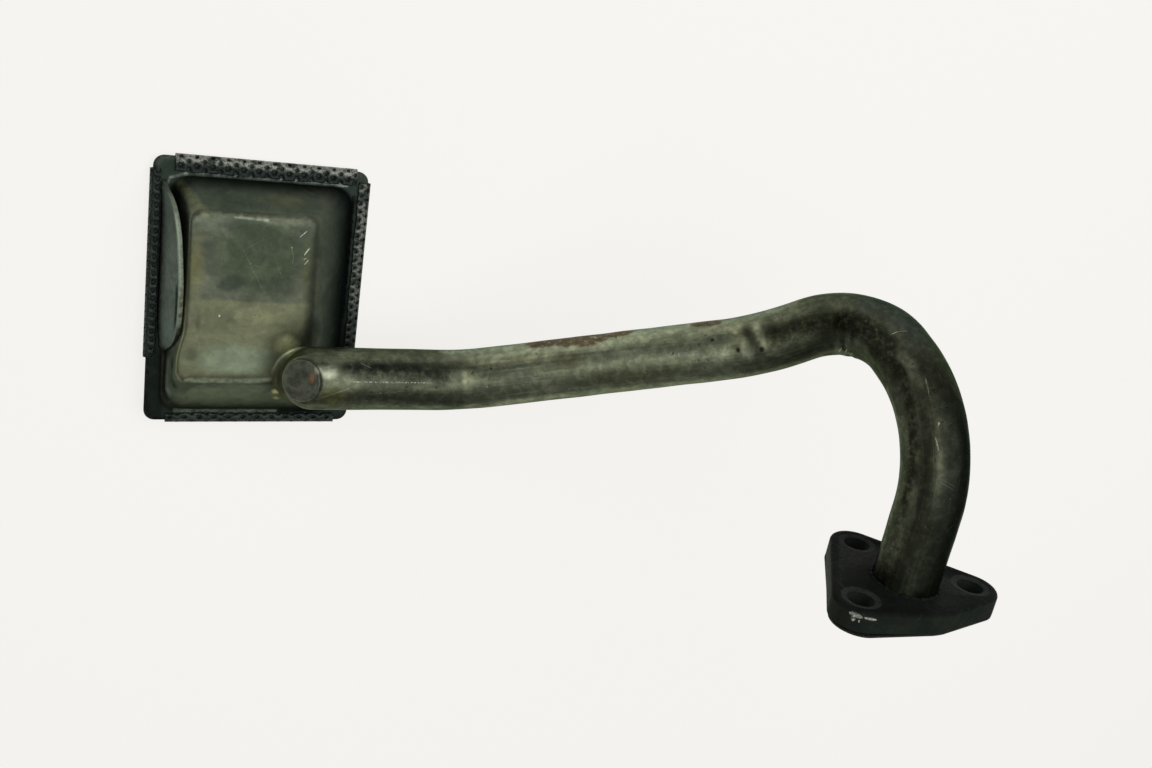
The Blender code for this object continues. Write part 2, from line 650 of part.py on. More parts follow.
def build():
    """Makes every piece."""
    clear_scene()
    tube_space = finish("tube_space", tube_form("tube_space", TUBE_RADIUS + FIT_GAP, OUTER_SIDES))
    neck_space = neck_form("neck_space", SHEET, RUN_HEIGHT, FIT_GAP)
    make_tube()
    make_plug()
    make_housing(tube_space)
    make_braze(tube_space, neck_space)
    make_screen()
    make_flange()
    make_gasket()
    make_weld()


build()
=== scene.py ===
"""Oil pickup tube: the looks of a worn steel strainer pan, a bent suction tube and a bolt-on flange."""

import math

import bmesh
import bpy
import numpy as np
from bpy.props import FloatProperty, FloatVectorProperty, PointerProperty
from bpy.types import Operator, Panel, PropertyGroup
from mathutils import Matrix, Vector
from mathutils.bvhtree import BVHTree


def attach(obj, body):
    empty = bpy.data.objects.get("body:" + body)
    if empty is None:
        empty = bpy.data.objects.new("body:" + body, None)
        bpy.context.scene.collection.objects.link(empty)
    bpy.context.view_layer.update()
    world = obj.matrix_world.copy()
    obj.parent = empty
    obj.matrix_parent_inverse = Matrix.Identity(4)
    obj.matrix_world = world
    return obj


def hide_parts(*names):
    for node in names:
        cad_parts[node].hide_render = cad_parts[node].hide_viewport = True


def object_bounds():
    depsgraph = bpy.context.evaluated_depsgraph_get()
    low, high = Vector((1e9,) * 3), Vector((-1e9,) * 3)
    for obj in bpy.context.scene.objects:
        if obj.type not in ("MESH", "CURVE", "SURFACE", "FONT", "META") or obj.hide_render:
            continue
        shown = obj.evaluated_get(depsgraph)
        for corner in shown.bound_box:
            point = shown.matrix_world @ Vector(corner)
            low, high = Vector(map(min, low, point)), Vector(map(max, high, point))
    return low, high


bl_info = {
    "name": "Oil Pickup Tube",
    "version": (1, 0, 0),
    "blender": (4, 5, 0),
    "location": "3D View > Sidebar > Pickup",
    "description": "Builds the strainer pan, suction tube and flange with their worn finishes",
    "category": "Object",
}

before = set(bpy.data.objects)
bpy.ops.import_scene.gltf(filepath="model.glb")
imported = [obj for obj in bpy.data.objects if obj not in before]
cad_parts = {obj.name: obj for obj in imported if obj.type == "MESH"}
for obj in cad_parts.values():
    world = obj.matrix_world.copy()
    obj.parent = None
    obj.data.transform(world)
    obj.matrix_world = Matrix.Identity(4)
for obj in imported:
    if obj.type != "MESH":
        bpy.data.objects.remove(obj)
CAD_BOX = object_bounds()
ROOT = "root"

# Places that the CAD model fixes, in metres. The pan's own frame has its origin at the rim's centre.
PAN = Matrix.Translation((-0.2470, 0.0635, -0.1682)) @ Matrix.Rotation(math.radians(-3.15), 4, "X")
RIM_HALF = (0.0467, 0.0607)
SCREEN_HALF = (0.0480, 0.06195)
# The screen's sheet, and the radius of its folds.
SCREEN_SHEET = 0.0009
FOLD_RADIUS = 0.00155
# Taken off the tube's radius, so that its wrinkles stay inside the CAD's box.
INSIDE_CAD = 0.00003
DOME_FOOT = (-0.0385, 0.0403, -0.0558, 0.0533)
DOME_TOP = (-0.0335, 0.0202, -0.0333, 0.0424)
DOME_HEIGHT = 0.025
TUBE_END = Vector((0.0202, -0.0254, 0.0410))
PLUG_AIM = Vector((-0.64, 0.15, 0.75)).normalized()
TUBE_TURNS = (Vector((-0.1568, 0.0, 0.0)), Vector((-0.0378, 0.0825, -0.0701)), Vector((0.0, 0.1096, -0.0492)),
              Vector((0.0, 0.0836, 0.0205)), Vector((0.0, 0.0020, 0.0205)))
TUBE_BENDS = (0.0545, 0.135, 0.0357, 0.0558)
NECK_LEAN = Vector((-0.0023, -0.0132))
NECK_RADII = (0.0104, 0.0142)
BORE = Vector((0.0, 0.0, 0.0205))
FLANGE_LOW, FLANGE_TOP = 0.0010, 0.0107
HUB_RADIUS, LOBE_RADIUS = 0.0262, 0.0120
FLOOR_Z = CAD_BOX[0][2] - 0.0004


def flange_bolts():
    """The three bolt holes, as (x, z) places on the flange."""
    c, s = math.cos(math.radians(2.5)), math.sin(math.radians(2.5))
    pattern = ((0.0, -0.0330), (0.0303, 0.0080), (-0.0303, 0.0080))
    return [(x * c + z * s, BORE.z - x * s + z * c) for x, z in pattern]


# Mesh helpers


def grid_faces(rows, columns, closed):
    """Quads between rows of points; closed rows join their ends."""
    last = columns if closed else columns - 1
    r, c = np.meshgrid(np.arange(rows - 1), np.arange(last), indexing="ij")
    d = (c + 1) % columns
    quads = np.stack([r * columns + c, r * columns + d, (r + 1) * columns + d, (r + 1) * columns + c],
                     axis=-1)
    return quads.reshape(-1, 4).tolist()


def mesh_piece(name, points, faces, place, material):
    """A named piece from points and faces, shaded smooth, riding on the part."""
    mesh = bpy.data.meshes.new(name)
    mesh.from_pydata([tuple(p) for p in points], [], faces)
    mesh.validate()
    return dress(name, mesh, place, material)


def dress(name, mesh, place, material):
    """Links a mesh as a piece of the part, with its material."""
    piece = bpy.data.objects.new(name, mesh)
    bpy.context.scene.collection.objects.link(piece)
    piece.matrix_world = place
    mesh.materials.clear()
    mesh.materials.append(material)
    mesh.shade_smooth()
    mesh.set_sharp_from_angle(angle=math.radians(48.0))
    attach(piece, ROOT)
    return piece


def outline(box, corner, per_corner=10, per_side=40):
    """Points round a rectangle (x0, x1, y0, y1) with round corners: the same count whatever its size."""
    x0, x1, y0, y1 = box
    corners = ((x1 - corner, y1 - corner, 0), (x0 + corner, y1 - corner, 90),
               (x0 + corner, y0 + corner, 180), (x1 - corner, y0 + corner, 270))
    points = []
    for (cx, cy, start), (nx, ny, _) in zip(corners, corners[1:] + corners[:1]):
        for k in range(per_corner):
            a = math.radians(start + 90.0 * k / per_corner)
            points.append((cx + corner * math.cos(a), cy + corner * math.sin(a)))
        a = math.radians(start + 90)
        head = np.array([cx + corner * math.cos(a), cy + corner * math.sin(a)])
        tail = np.array([nx + corner * math.cos(a), ny + corner * math.sin(a)])
        for k in range(per_side):
            points.append(tuple(head + (tail - head) * k / per_side))
    return np.array(points)


def smooth_step(low, high, value):
    """0 below low, 1 above high, and a smooth rise between."""
    t = np.clip((np.asarray(value, float) - low) / (high - low), 0.0, 1.0)
    return t * t * (3.0 - 2.0 * t)


def soft_min(a, b, width):
    """The lower of two heights, with a rounded crease of a width between them."""
    h = np.clip(0.5 + 0.5 * (b - a) / width, 0.0, 1.0)
    return b * (1.0 - h) + a * h - width * h * (1.0 - h)


def ripple(points, scale, seed):
    """A smooth, repeatable unevenness from -1 to 1 over points in metres."""
    rng = np.random.default_rng(seed)
    total = np.zeros(len(points))
    for k in range(5):
        aim = rng.normal(size=3)
        aim /= np.linalg.norm(aim)
        phase = points @ aim * (2 * math.pi / scale) * (0.7 + 0.35 * k) + rng.uniform(0, 6.28)
        total += np.sin(phase) / (1.3 + k)
    return total / 2.0


def bend_between(first, corner, last, reach_in, reach_out, steps):
    """Points along a rounded corner between two straight legs, for arrays of legs."""
    def leg(towards, reach):
        away = towards - corner
        length = np.linalg.norm(away, axis=1, keepdims=True)
        return corner + away / np.maximum(length, 1e-9) * np.minimum(reach, length * 0.5)
    start, end = leg(first, reach_in), leg(last, reach_out)
    ts = np.linspace(0.0, 1.0, steps + 1)
    return [start * (1 - t) ** 2 + corner * 2 * t * (1 - t) + end * t ** 2 for t in ts]


# Shader helpers


class Shade:
    """Writes one node tree in short lines."""

    def __init__(self, tree):
        self.tree = tree

    def add(self, kind, **settings):
        node = self.tree.nodes.new(kind)
        for name, value in settings.items():
            setattr(node, name, value)
        return node

    def put(self, socket, value):
        if isinstance(value, bpy.types.NodeSocket):
            self.tree.links.new(value, socket)
        elif value is not None:
            socket.default_value = value

    def math(self, operation, a, b=None, clamp=False):
        node = self.add("ShaderNodeMath", operation=operation, use_clamp=clamp)
        self.put(node.inputs[0], a)
        self.put(node.inputs[1], b)
        return node.outputs[0]

    def vector(self, operation, a, b=None):
        node = self.add("ShaderNodeVectorMath", operation=operation)
        self.put(node.inputs[0], a)
        self.put(node.inputs[1], b)
        return node.outputs["Value" if operation in ("LENGTH", "DOT_PRODUCT", "DISTANCE") else "Vector"]

    def span(self, value, low, high, out_low=0.0, out_high=1.0):
        node = self.add("ShaderNodeMapRange", interpolation_type="SMOOTHSTEP")
        for socket, given in zip(node.inputs, (value, low, high, out_low, out_high)):
            self.put(socket, given)
        return node.outputs[0]

    def noise(self, vector, scale, detail=3.0, roughness=0.55, distortion=0.0):
        node = self.add("ShaderNodeTexNoise")
        for name, given in (("Vector", vector), ("Scale", scale), ("Detail", detail),
                            ("Roughness", roughness),
                            ("Distortion", distortion)):
            self.put(node.inputs[name], given)
        return node.outputs["Fac"]

    def mix(self, share, a, b, blend="MIX"):
        node = self.add("ShaderNodeMix", data_type="RGBA", blend_type=blend)
        self.put(node.inputs["Factor"], share)
        self.put(node.inputs[6], a)
        self.put(node.inputs[7], b)
        return node.outputs[2]

    def blend(self, share, a, b):
        node = self.add("ShaderNodeMix", data_type="FLOAT")
        self.put(node.inputs["Factor"], share)
        self.put(node.inputs[2], a)
        self.put(node.inputs[3], b)
        return node.outputs[0]

    def ramp(self, value, stops, low, high):
        """A smooth run of tones over a value, from (value, tone) stops."""
        node = self.add("ShaderNodeValToRGB")
        ramp = node.color_ramp
        ramp.interpolation = "EASE"
        while len(ramp.elements) < len(stops):
            ramp.elements.new(0.5)
        for element, (place, tone) in zip(ramp.elements, stops):
            element.position = (place - low) / (high - low)
            element.color = (tone, tone, tone, 1.0) if isinstance(tone, float) else colour(tone)
        spread = self.add("ShaderNodeMapRange")
        for socket, given in zip(spread.inputs, (value, low, high)):
            self.put(socket, given)
        self.put(node.inputs[0], spread.outputs[0])
        return node.outputs[0]

    def group(self, maker, **values):
        node = self.add("ShaderNodeGroup")
        node.node_tree = maker()
        for name, value in values.items():
            self.put(node.inputs[name.replace("_", " ")], value)
        return node.outputs

    def tint(self, tone, rgb):
        """The tone multiplied by a colour, whose parts may be over 1."""
        return self.mix(1.0, tone, (*rgb, 1.0), "MULTIPLY")

    def lay(self, tone, mask, share, rgb):
        """The tone with a share of a colour laid over it where the mask is."""
        return self.mix(self.math("MULTIPLY", mask, share), tone, colour(rgb))


def new_group(name, inputs, outputs=(("Mask", "Float"),)):
    """An empty shader node group with named sockets."""
    tree = bpy.data.node_groups.new(name, "ShaderNodeTree")
    for label, kind, default in inputs:
        socket = tree.interface.new_socket(label, in_out="INPUT", socket_type=f"NodeSocket{kind}")
        if default is not None:
            socket.default_value = default
    for label, kind in outputs:
        tree.interface.new_socket(label, in_out="OUTPUT", socket_type=f"NodeSocket{kind}")
    shade = Shade(tree)
    return tree, shade, shade.add("NodeGroupInput").outputs, shade.add("NodeGroupOutput").inputs


def once(maker):
    """Builds a node group the first time that it is asked for."""
    kept = []

    def get():
        if not kept:
            kept.append(maker())
        return kept[0]
    return get


@once
def blotches():
    """Soft patches of oil film and heat colour."""
    tree, s, given, out = new_group("Oil blotches", (("Vector", "Vector", None), ("Size", "Float", 0.01),
                                    ("Low", "Float", 0.42), ("High", "Float", 0.58)))
    scale = s.math("DIVIDE", 1.0, given["Size"])
    cloud = s.noise(given["Vector"], scale, 5.0, 0.6, 0.4)
    s.put(out["Mask"], s.span(cloud, given["Low"], given["High"]))
    return tree


@once
def drawn_lines():
    """Long faint lines left by rolling or drawing, along X of the vector."""
    tree, s, given, out = new_group("Drawn lines", (("Vector", "Vector", None), ("Stretch", "Float", 30.0),
                                    ("Pitch", "Float", 0.0006)))
    stretch = s.add("ShaderNodeCombineXYZ")
    s.put(stretch.inputs[0], s.math("DIVIDE", 1.0, given["Stretch"]))
    stretch.inputs[1].default_value = 1.0
    stretch.inputs[2].default_value = 1.0
    thin = s.vector("MULTIPLY", given["Vector"], stretch.outputs[0])
    lines = s.noise(thin, s.math("DIVIDE", 1.0, given["Pitch"]), 2.0, 0.5)
    s.put(out["Mask"], lines)
    return tree


@once
def pitting():
    """Small round pits, each with its own size, some left out."""
    tree, s, given, out = new_group("Pits", (("Vector", "Vector", None), ("Spacing", "Float", 0.002),
                                    ("Share", "Float", 0.3)))
    cells = s.add("ShaderNodeTexVoronoi", feature="F1")
    s.put(cells.inputs["Vector"], given["Vector"])
    s.put(cells.inputs["Scale"], s.math("DIVIDE", 1.0, given["Spacing"]))
    pick = s.add("ShaderNodeSeparateColor")
    s.put(pick.inputs[0], cells.outputs["Color"])
    chosen = s.math("LESS_THAN", pick.outputs[0], given["Share"])
    size = s.span(pick.outputs[1], 0.0, 1.0, 0.08, 0.26)
    dot = s.math("SUBTRACT", 1.0, s.math("DIVIDE", cells.outputs["Distance"], size), clamp=True)
    s.put(out["Mask"], s.math("MULTIPLY", dot, chosen))
    return tree


def gap_to_line(s, given):
    """How far a place lies from the line between Start and End, and its share of the way along."""
    along = s.vector("SUBTRACT", given["End"], given["Start"])
    from_start = s.vector("SUBTRACT", given["Vector"], given["Start"])
    share = s.math("DIVIDE", s.vector("DOT_PRODUCT", from_start, along),
                   s.vector("DOT_PRODUCT", along, along), clamp=True)
    scaled = s.add("ShaderNodeVectorMath", operation="SCALE")
    s.put(scaled.inputs[0], along)
    s.put(scaled.inputs["Scale"], share)
    return s.vector("DISTANCE", from_start, scaled.outputs[0]), share


@once
def one_line_mark():
    """A straight mark between two places, broken up along its length."""
    tree, s, given, out = new_group("One line mark", (("Vector", "Vector", None), ("Start", "Vector", None),
                                    ("End", "Vector", None), ("Width", "Float", 0.0003),
                                    ("Broken", "Float", 1.0)))
    gap, share = gap_to_line(s, given)
    taper = s.math("SQRT", s.math("MULTIPLY", share, s.math("SUBTRACT", 1.0, share)))
    width = s.math("MULTIPLY", given["Width"], s.math("ADD", 0.35, s.math("MULTIPLY", taper, 1.5)))
    line = s.math("SUBTRACT", 1.0, s.math("DIVIDE", gap, width), clamp=True)
    broken = s.span(s.noise(given["Vector"], 1300.0, 2.0), 0.47, 0.60)
    kept = s.blend(given["Broken"], 1.0, broken)
    s.put(out["Mask"], s.math("MULTIPLY", s.span(line, 0.0, 0.8), kept))
    return tree


@once
def soft_band():
    """A soft band of a half width along a straight line."""
    tree, s, given, out = new_group("Soft band", (("Vector", "Vector", None), ("Start", "Vector", None),
                                    ("End", "Vector", None), ("Width", "Float", 0.001)))
    gap, _ = gap_to_line(s, given)
    gap = s.math("DIVIDE", gap, given["Width"])
    uneven = s.math("SUBTRACT", s.noise(given["Vector"], 220.0, 3.0), 0.5)
    gap = s.math("ADD", gap, s.math("MULTIPLY", uneven, 0.7))
    s.put(out["Mask"], s.span(gap, 0.15, 1.0, 1.0, 0.0))
    return tree


@once
def soft_spot():
    """A soft oval area with an uneven edge."""
    tree, s, given, out = new_group("Soft spot", (("Vector", "Vector", None), ("Centre", "Vector", None),
                                    ("Reach", "Vector", (0.01, 0.01, 0.01)), ("Softness", "Float", 0.5)))
    away = s.vector("DIVIDE", s.vector("SUBTRACT", given["Vector"], given["Centre"]), given["Reach"])
    far = s.vector("LENGTH", away)
    uneven = s.math("SUBTRACT", s.noise(given["Vector"], 160.0, 3.0), 0.5)
    far = s.math("ADD", far, s.math("MULTIPLY", uneven, 0.55))
    inner = s.math("SUBTRACT", 1.0, given["Softness"])
    s.put(out["Mask"], s.span(far, inner, 1.0, 1.0, 0.0))
    return tree


@once
def hairlines():
    """Fine random scuffs in several directions."""
    tree, s, given, out = new_group("Hairlines", (("Vector", "Vector", None), ("Amount", "Float", 0.5)))
    total = None
    for turn, scale in ((0.35, 1.0), (1.2, 1.3), (-0.6, 0.8), (2.3, 1.1)):
        spin = s.add("ShaderNodeVectorRotate", rotation_type="Z_AXIS")
        s.put(spin.inputs["Vector"], given["Vector"])
        spin.inputs["Angle"].default_value = turn
        thin = s.vector("MULTIPLY", spin.outputs[0], (40.0 * scale, 1400.0 * scale, 60.0))
        line = s.span(s.noise(thin, 1.0, 1.0, 0.4, 0.3), 0.71, 0.76)
        where = s.span(s.noise(given["Vector"], 60.0 * scale, 2.0), 0.5, 0.62)
        line = s.math("MULTIPLY", line, where)
        total = line if total is None else s.math("MAXIMUM", total, line)
    s.put(out["Mask"], s.math("MULTIPLY", total, given["Amount"], clamp=True))
    return tree


@once
def worn_edges_and_crevice_shade():
    """Where an edge stands proud, broken up by noise; and painted shade in a hollow corner."""
    tree, s, given, out = new_group("Worn edges and crevice shade", (("Vector", "Vector", None), ("Low", "Float", 0.53),
                                    ("High", "Float", 0.62)), (("Edge", "Float"), ("Crevice shade", "Float")))
    point = s.add("ShaderNodeNewGeometry").outputs["Pointiness"]
    rough = s.math("MULTIPLY", s.math("SUBTRACT", s.noise(given["Vector"], 450.0, 4.0), 0.5), 0.09)
    point = s.math("ADD", point, rough)
    s.put(out["Edge"], s.span(point, given["Low"], given["High"]))
    # The second mask is painted shade, strongest where the surface is hollow.
    s.put(out["Crevice shade"], s.span(point, 0.38, 0.47, 1.0, 0.0))
    return tree


def fresh_material(name):
    """A new material with its Principled shader and a helper to write its nodes."""
    material = bpy.data.materials.new(name)
    material.use_nodes = True
    shade = Shade(material.node_tree)
    return material, shade, material.node_tree.nodes["Principled BSDF"]


def object_space(shade):
    """Coordinates in metres in the piece's own frame."""
    return shade.add("ShaderNodeTexCoord").outputs["Object"]


def colour(values):
    """A colour with its alpha."""
    return (*values[:3], 1.0)


def add_line_marks(s, vector, base, marks, tone, strength=1.0):
    """Lays bright marks, given as (start, end, width, broken), over a colour."""
    total = None
    for start, end, width, broken in marks:
        mask = s.group(one_line_mark, Vector=vector, Start=millimetres(*start), End=millimetres(*end),
                       Width=width,
                       Broken=broken)["Mask"]
        total = mask if total is None else s.math("MAXIMUM", total, mask)
    total = s.math("MULTIPLY", total, strength)
    return s.mix(total, base, colour(tone)), total


def bump_chain(s, shader, layers):
    """Adds heights, each (value, distance, strength), as bumps one on the other."""
    normal = None
    for value, distance, strength in layers:
        bump = s.add("ShaderNodeBump")
        bump.inputs["Strength"].default_value = strength
        bump.inputs["Distance"].default_value = distance
        s.put(bump.inputs["Height"], value)
        if normal is not None:
            s.put(bump.inputs["Normal"], normal)
        normal = bump.outputs[0]
    s.put(shader.inputs["Normal"], normal)


def millimetres(*values):
    """Millimetres as metres."""
    return tuple(v / 1000.0 for v in values)


PAN_FILM_AND_PAINTED_LIGHT = (
    # place, reach (mm), softness, tone, share
    ((-4.0, 24.0, 25.0), (22.0, 22.0, 12.0), 0.5, (0.066, 0.089, 0.052), 0.7),
    ((-15.0, 12.0, 25.0), (8.0, 5.5, 12.0), 0.6, (0.045, 0.060, 0.046), 0.75),
    ((7.0, 12.0, 25.0), (10.0, 9.0, 12.0), 0.7, (0.055, 0.072, 0.051), 0.6),
    ((-20.0, 26.0, 25.0), (4.5, 14.0, 9.0), 0.8, (0.130, 0.154, 0.101), 0.6),
    ((-30.0, 18.0, 25.0), (5.0, 22.0, 9.0), 0.8, (0.220, 0.216, 0.097), 0.6),
    ((16.5, 22.0, 25.0), (3.2, 17.0, 9.0), 0.8, (0.130, 0.144, 0.069), 0.65),
    ((2.0, -2.0, 25.0), (12.0, 6.0, 12.0), 0.8, (0.300, 0.309, 0.175), 0.4),
    ((-14.0, -5.0, 25.0), (3.0, 2.2, 12.0), 0.8, (0.110, 0.113, 0.064), 0.5),
    ((4.0, -7.0, 25.0), (9.0, 2.5, 12.0), 0.8, (0.130, 0.144, 0.083), 0.5),
    # Painted light where the pocket slopes down by the neck.
    ((10.5, -16.0, 24.0), (7.0, 6.0, 9.0), 0.8, (0.800, 0.840, 0.480), 0.85),
    ((-10.0, -23.0, 25.0), (27.0, 9.5, 9.0), 0.6, (0.290, 0.350, 0.245), 0.8),
    # Painted shade between the plateau and the tube's end above it.
    ((22.0, -10.0, 22.0), (7.0, 10.0, 12.0), 0.7, (0.036, 0.043, 0.032), 0.75),
    ((-8.0, -46.0, 12.0), (34.0, 9.0, 14.0), 0.5, (0.138, 0.160, 0.108), 0.85),
    ((-31.3, -4.0, 25.0), (2.6, 6.5, 9.0), 0.7, (0.200, 0.196, 0.156), 0.6),
    ((-27.8, -6.0, 25.0), (2.0, 6.0, 9.0), 0.8, (0.070, 0.072, 0.046), 0.5),
    ((-30.0, -21.0, 24.0), (4.0, 5.0, 9.0), 0.8, (0.060, 0.067, 0.041), 0.5),
    # Painted shade, tinted brown, in the hollow behind the louvre's top end.
    ((-39.0, 49.5, 4.0), (4.5, 4.0, 9.0), 0.7, (0.050, 0.037, 0.017), 0.8),
    ((8.0, 47.0, 14.0), (14.0, 5.0, 9.0), 0.8, (0.110, 0.118, 0.064), 0.5),
    # Painted shade under the tube's end, round the neck.
    ((19.0, -33.0, 20.0), (17.0, 13.0, 20.0), 0.35, (0.060, 0.062, 0.031), 0.8),
    ((8.3, -39.6, 18.0), (2.4, 3.2, 6.0), 0.85, (0.600, 0.580, 0.270), 0.9),
    ((10.0, -45.2, 13.0), (2.0, 2.2, 5.0), 0.85, (0.460, 0.430, 0.190), 0.8),
)
PAN_BANDS = (
    # start, end (mm), half width (m), tone, share
    ((-36.0, 49.2, 3.0), (-28.0, 42.3, 24.5), 0.0035, (0.200, 0.214, 0.114), 0.6),
    ((33.0, 50.5, 8.0), (20.0, 43.0, 24.5), 0.0030, (0.130, 0.141, 0.074), 0.6),
    # The top crease: scuffs and a painted highlight.
    ((-28.0, 42.2, 25.0), (18.0, 42.6, 25.0), 0.0022, (0.440, 0.480, 0.320), 0.7),
    ((-18.0, 43.8, 24.0), (-2.0, 43.9, 24.0), 0.0012, (0.800, 0.860, 0.680), 0.75),
    ((-15.0, 41.1, 25.0), (-1.5, 40.6, 25.0), 0.0012, (0.700, 0.750, 0.600), 0.6),
    ((-41.6, 46.0, 1.4), (-39.6, 51.4, 1.4), 0.0010, (0.300, 0.360, 0.300), 0.7),
    ((-39.6, 51.4, 1.4), (-33.0, 53.6, 1.2), 0.0011, (0.360, 0.440, 0.360), 0.7),
    ((-33.0, 53.6, 1.2), (37.0, 54.2, 1.2), 0.0013, (0.420, 0.520, 0.430), 0.85),
    ((-33.0, -55.8, 1.4), (12.0, -56.0, 1.4), 0.0016, (0.720, 0.860, 0.640), 0.85),
    # Painted highlight along the near crease.
    ((-31.0, -33.2, 24.2), (4.0, -32.9, 24.2), 0.0020, (0.780, 0.900, 0.640), 0.8),
    ((-34.5, -30.0, 24.5), (-33.5, -39.0, 22.0), 0.0012, (0.420, 0.367, 0.247), 0.6),
    ((-38.0, -50.0, 8.5), (-38.0, -29.5, 8.5), 0.0036, (0.270, 0.320, 0.270), 0.8),
    # Painted shade lines at the foot of the right wall and beside the louvre's root.
    ((40.6, 49.0, 0.8), (40.6, -8.0, 0.8), 0.0016, (0.004, 0.005, 0.005), 0.9),
    ((-43.2, 46.0, 0.8), (-43.2, -28.0, 0.8), 0.0014, (0.006, 0.007, 0.007), 0.85),
    # Painted shade on the left wall below the louvre.
    ((-36.9, -27.0, 17.0), (-36.7, -49.0, 17.0), 0.0036, (0.016, 0.020, 0.016), 0.8),
)
PAN_MARKS = (
    # start, end (mm), width (m), broken
    ((15.2, 26.2, 25.0), (17.4, 29.6, 25.0), 0.00040, 0.3),
    ((15.6, 21.8, 25.0), (17.6, 24.6, 25.0), 0.00034, 0.4),
    ((15.0, 24.2, 25.0), (16.4, 24.8, 25.0), 0.00025, 0.5),
    ((16.0, 16.2, 25.0), (18.4, 19.2, 25.0), 0.00026, 0.5),
    ((12.6, 34.0, 25.0), (15.6, 37.0, 25.0), 0.00026, 0.7),
    ((-3.0, 0.6, 25.0), (1.6, 2.5, 25.0), 0.00020, 0.5),
    ((-19.3, -3.4, 25.0), (-19.0, -2.4, 25.0), 0.00050, 0.0),
    ((-13.2, 40.8, 25.0), (-4.0, 40.2, 25.0), 0.00040, 1.0),
    ((-10.4, 43.4, 25.0), (-7.6, 43.8, 25.0), 0.00030, 1.0),
    ((9.2, 29.5, 25.0), (9.9, 29.0, 25.0), 0.00026, 0.5),
)
PAN_FAINT_MARKS = (
    ((9.0, 30.5, 25.0), (10.5, 25.5, 25.0), 0.00022, 0.5),
    ((10.6, 25.5, 25.0), (10.4, 22.0, 25.0), 0.00020, 0.5),
    ((-4.0, 39.8, 25.0), (5.0, 39.4, 25.0), 0.00036, 1.0),
    ((-24.0, 39.6, 25.0), (-13.0, 40.4, 25.0), 0.00036, 1.0),
    ((-17.0, 6.5, 25.0), (-14.6, 4.6, 25.0), 0.00018, 0.5),
    ((-12.5, 30.0, 25.0), (-0.5, 7.5, 25.0), 0.00016, 0.8),
    ((-10.0, 20.5, 25.0), (-5.0, 17.0, 25.0), 0.00014, 0.8),
    ((-9.0, 22.0, 25.0), (-2.5, 19.0, 25.0), 0.00014, 0.8),
    ((2.0, 26.0, 25.0), (6.5, 15.0, 25.0), 0.00014, 0.8),
    ((-30.0, -31.5, 24.0), (-22.0, -33.5, 24.0), 0.00030, 1.0),
)


def lay_spots(s, vector, base, spots):
    """Lays soft spots, one over the other, on a colour."""
    for centre, reach, softness, tone, share in spots:
        mask = s.group(soft_spot, Vector=vector, Centre=millimetres(*centre), Reach=millimetres(*reach),
                       Softness=softness)["Mask"]
        base = s.mix(s.math("MULTIPLY", mask, share), base, colour(tone))
    return base


def lay_bands(s, vector, base, bands):
    """Lays soft, patchy bands along straight lines on a colour."""
    patchy = s.span(s.noise(vector, 330.0, 4.0, 0.65), 0.34, 0.58, 0.35, 1.0)
    for start, end, width, tone, share in bands:
        mask = s.group(soft_band, Vector=vector, Start=millimetres(*start), End=millimetres(*end),
                       Width=width)["Mask"]
        base = s.mix(s.math("MULTIPLY", s.math("MULTIPLY", mask, patchy), share), base, colour(tone))
    return base


